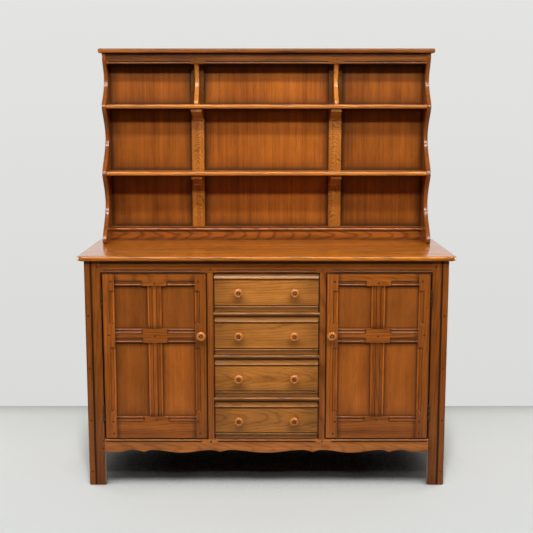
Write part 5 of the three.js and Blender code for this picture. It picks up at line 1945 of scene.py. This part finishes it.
@dataclass
class Studio:
    """A pale floor and wall, soft lamps and the camera. Measures are in metres.

    Attributes:
        wall: Distance of the wall behind the middle.
        reach: Half width of the floor.
        tall: Height of the wall.
        lamps: The lamps on the right; each has a twin on the left.
        floor_lamps: Lamps over the camera that light the floor alone.
        aim: Depth and height that the lamps look at, each straight ahead.
        sky: Lightness of the world.
        wall_tone: Lightness of the wall, low down and high up.
        floor_tone: Lightness of the floor, at the wall and in front.
    """

    wall: float = 0.768
    reach: float = 9.0
    tall: float = 7.0
    lamps: tuple[Lamp, ...] = (
        Lamp((1.45, -2.34, 2.8), 0.24, 52.0, 2.9), Lamp((1.3, -1.59, 3.26), 0.22, 45.0, 2.6),
        Lamp((0.9, -2.0, 0.25), 0.4, 3.0, 1.8, glossy=False), Lamp((2.8, 0.4, 1.05), 1.2, 34.0, 0.5, True))
    floor_lamps: tuple[Lamp, ...] = (
        Lamp((0.0, -3.7, 3.45), 0.12, 18.0, 0.5), Lamp((0.0, -3.7, 6.3), 0.4, 70.0, 0.8),
        Lamp((0.0, -3.7, 8.5), 1.0, 142.0, 1.0), Lamp((0.0, -3.7, 13.0), 1.6, 165.0, 1.6),
        Lamp((3.2, -0.9, 1.3), 0.8, 32.0, 0.8))
    aim: tuple[float, float] = (0.1, 1.0)
    sky: float = 0.012
    wall_tone: tuple[float, float] = (0.70, 0.785)
    floor_tone: tuple[float, float] = (0.66, 0.69)

    def build(self) -> None:
        """Makes the stage, the light and the camera."""
        floor = self.backdrop()
        lit = {state: bpy.data.collections.new(f"studio_{state.lower()}") for state in ("INCLUDE", "EXCLUDE")}
        for state, group in lit.items():
            group.objects.link(floor)
            group.collection_objects[0].light_linking.link_state = state
        for side in Side:
            for lamp in self.lamps:
                self.lamp(lamp, side, lit["EXCLUDE"])
            for lamp in self.floor_lamps:
                self.lamp(lamp, side, lit["INCLUDE"])
        self.world()
        self.camera()

    def backdrop(self) -> bpy.types.Object:
        """Makes the floor and the wall.

        Returns:
            The floor.
        """
        r, w, h = self.reach, self.wall, self.tall
        floor = self.sheet("studio_floor", [(-r, -r, 0), (r, -r, 0), (r, w, 0), (-r, w, 0)],
                           self.floor_material())
        wall = self.sheet("studio_wall", [(-r, w, 0), (r, w, 0), (r, w, h), (-r, w, h)],
                          self.wall_material())
        return floor

    @staticmethod
    def placed(name: str, data: bpy.types.ID) -> bpy.types.Object:
        """Puts an object into the scene.

        Args:
            name: Its name.
            data: Its mesh, light or camera.

        Returns:
            The object.
        """
        made = bpy.data.objects.new(name, data)
        bpy.context.scene.collection.objects.link(made)
        return made

    def sheet(self, name: str, corners: list[Vector], material: bpy.types.Material) -> bpy.types.Object:
        """Makes a flat sheet.

        Args:
            name: Its name.
            corners: Its four corners, in metres.
            material: Its material.

        Returns:
            The sheet.
        """
        mesh = bpy.data.meshes.new(name)
        mesh.from_pydata(corners, [], [(0, 1, 2, 3)])
        mesh.materials.append(material)
        return self.placed(name, mesh)

    def wall_material(self) -> bpy.types.Material:
        """Makes a pale wall that shows its own tone to the camera and in gloss, a little lighter
        higher up, and that isn't there from behind.

        Returns:
            Its material.
        """
        g = Graph(bpy.data.materials.new("studio_wall"))
        height = g.node("SeparateXYZ", [g.node("TexCoord", output="Object")], 2)
        share = g.node("MapRange", {0: height, 1: 0.0, 2: 2.2})
        low, high = self.wall_tone
        tone = g.mix(share, (low, low, low * 0.995), (high, high, high * 0.975))
        glow = g.node("Emission", [tone, 1.0])
        plain = g.node("BsdfDiffuse", [(0.35, 0.35, 0.35, 1)])
        rays = [g.node("LightPath", output=f"Is {name} Ray") for name in ("Camera", "Glossy", "Transmission")]
        front = g.node("MixShader", [g.node("Clamp", [rays[0] + rays[1] + rays[2]]), plain, glow])
        clear = g.node("BsdfTransparent")
        behind = g.node("NewGeometry", output="Backfacing")
        return g.surface(g.node("MixShader", [behind, front, clear]))

    def floor_material(self) -> bpy.types.Material:
        """Makes a pale floor that takes the object's shadow before the camera, with painted shadow
        under the dresser from ambient occlusion, darker toward the wall. In gloss it glows and fades
        out toward the front of the room.

        Returns:
            Its material.
        """
        g = Graph(bpy.data.materials.new("studio_floor"))
        depth = g.node("SeparateXYZ", [g.node("TexCoord", output="Object")], 1)
        share = g.node("MapRange", {0: depth, 1: self.wall, 2: -0.9})
        far, near = self.floor_tone
        tone = g.mix(share, (far, far * 1.02, far * 0.985), (near, near * 1.03, near * 1.01))
        # Painted shadow: the floor turns black where ambient occlusion finds it closed in under the dresser.
        open_sky = g.node("AmbientOcclusion", {"Distance": 0.35}, "AO", samples=8)
        tone = g.mix(g.node("Clamp", [open_sky * 2.5 - 0.58]), (0, 0, 0), tone)
        fade = g.node("MapRange", {0: depth, 1: -0.7, 2: -1.8, 3: 0.3, 4: 0.02})
        camera, gloss = (g.node("LightPath", output=f"Is {name} Ray") for name in ("Camera", "Glossy"))
        dim = g.node("BsdfDiffuse", [g.grey(fade * 0.85)])
        glow = g.node("Emission", [(1.0, 1.0, 1.0, 1.0), fade])
        hidden = g.node("MixShader", [gloss, dim, glow])
        return g.surface(g.node("MixShader", [camera, hidden, g.node("BsdfDiffuse", [tone])]))

    def lamp(self, lamp: Lamp, side: Side, lit: bpy.types.Collection) -> None:
        """Hangs one lamp and turns it to the dresser.

        Args:
            lamp: The lamp.
            side: Its own side, or its twin's.
            lit: What it lights or leaves out.
        """
        data = bpy.data.lights.new("studio_lamp", "AREA")
        data.shape = "RECTANGLE"
        data.energy, data.size, data.size_y = lamp.power, lamp.wide, lamp.size
        made = self.placed("studio_lamp", data)
        x, y, z = lamp.place
        made.location = (x * side.value, y, z)
        aim = made.location.copy()
        aim.yz = self.aim
        if lamp.inward:
            aim.x = 0
        made.rotation_euler = (aim - made.location).to_track_quat("-Z", "Y").to_euler()
        made.visible_camera, made.visible_glossy = False, lamp.glossy
        made.light_linking.receiver_collection = lit

    def world(self) -> None:
        """Lights everything a little from all round, and looks pale itself."""
        world = bpy.data.worlds.new("studio_world")
        bpy.context.scene.world = world
        g = Graph(world)
        camera = g.node("LightPath", output="Is Camera Ray")
        sky, pale = (g.node("Background", [colour])
                     for colour in ((self.sky, self.sky, self.sky, 1), (0.74, 0.74, 0.73, 1)))
        g.surface(g.node("MixShader", [camera, sky, pale]), "World")

    def camera(self) -> None:
        """Sets up the camera at the photograph's angle."""
        data = bpy.data.cameras.new("camera")
        data.lens, data.sensor_width = 65.31, 36.0
        made = self.placed("camera", data)
        made.location = (0.0, -3.6771, 1.3541)
        made.rotation_euler = (math.radians(81.27), 0.0, 0.0)
        bpy.context.scene.camera = made


def main() -> None:
    """Builds the studio and the dresser."""
    logging.basicConfig(level=logging.INFO, format="%(message)s")
    bpy.context.scene.view_settings.view_transform = "Standard"
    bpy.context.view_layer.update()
    Studio().build()
    finishes = Finishes()
    base = Base(finishes)
    base.build()
    left = Door(Side.LEFT, finishes, panel_tones=(0.9, 1.2), panel_field_shade=(0.0, 0.2, 0.0, 0.46))
    for door in (left, Door(Side.RIGHT, finishes)):
        door.build(base.mid_rail_span())
    looks = ((Cut.RIFT, 1.06), (Cut.RIFT, 0.97), (Cut.CROWN, 1.03), (Cut.CROWN, 0.9))
    for number, (cut, tone) in enumerate(looks, 1):
        Drawer(number, finishes, cut, tone).build()
    Rack(finishes).build()


if __name__ == "__main__":
    main()
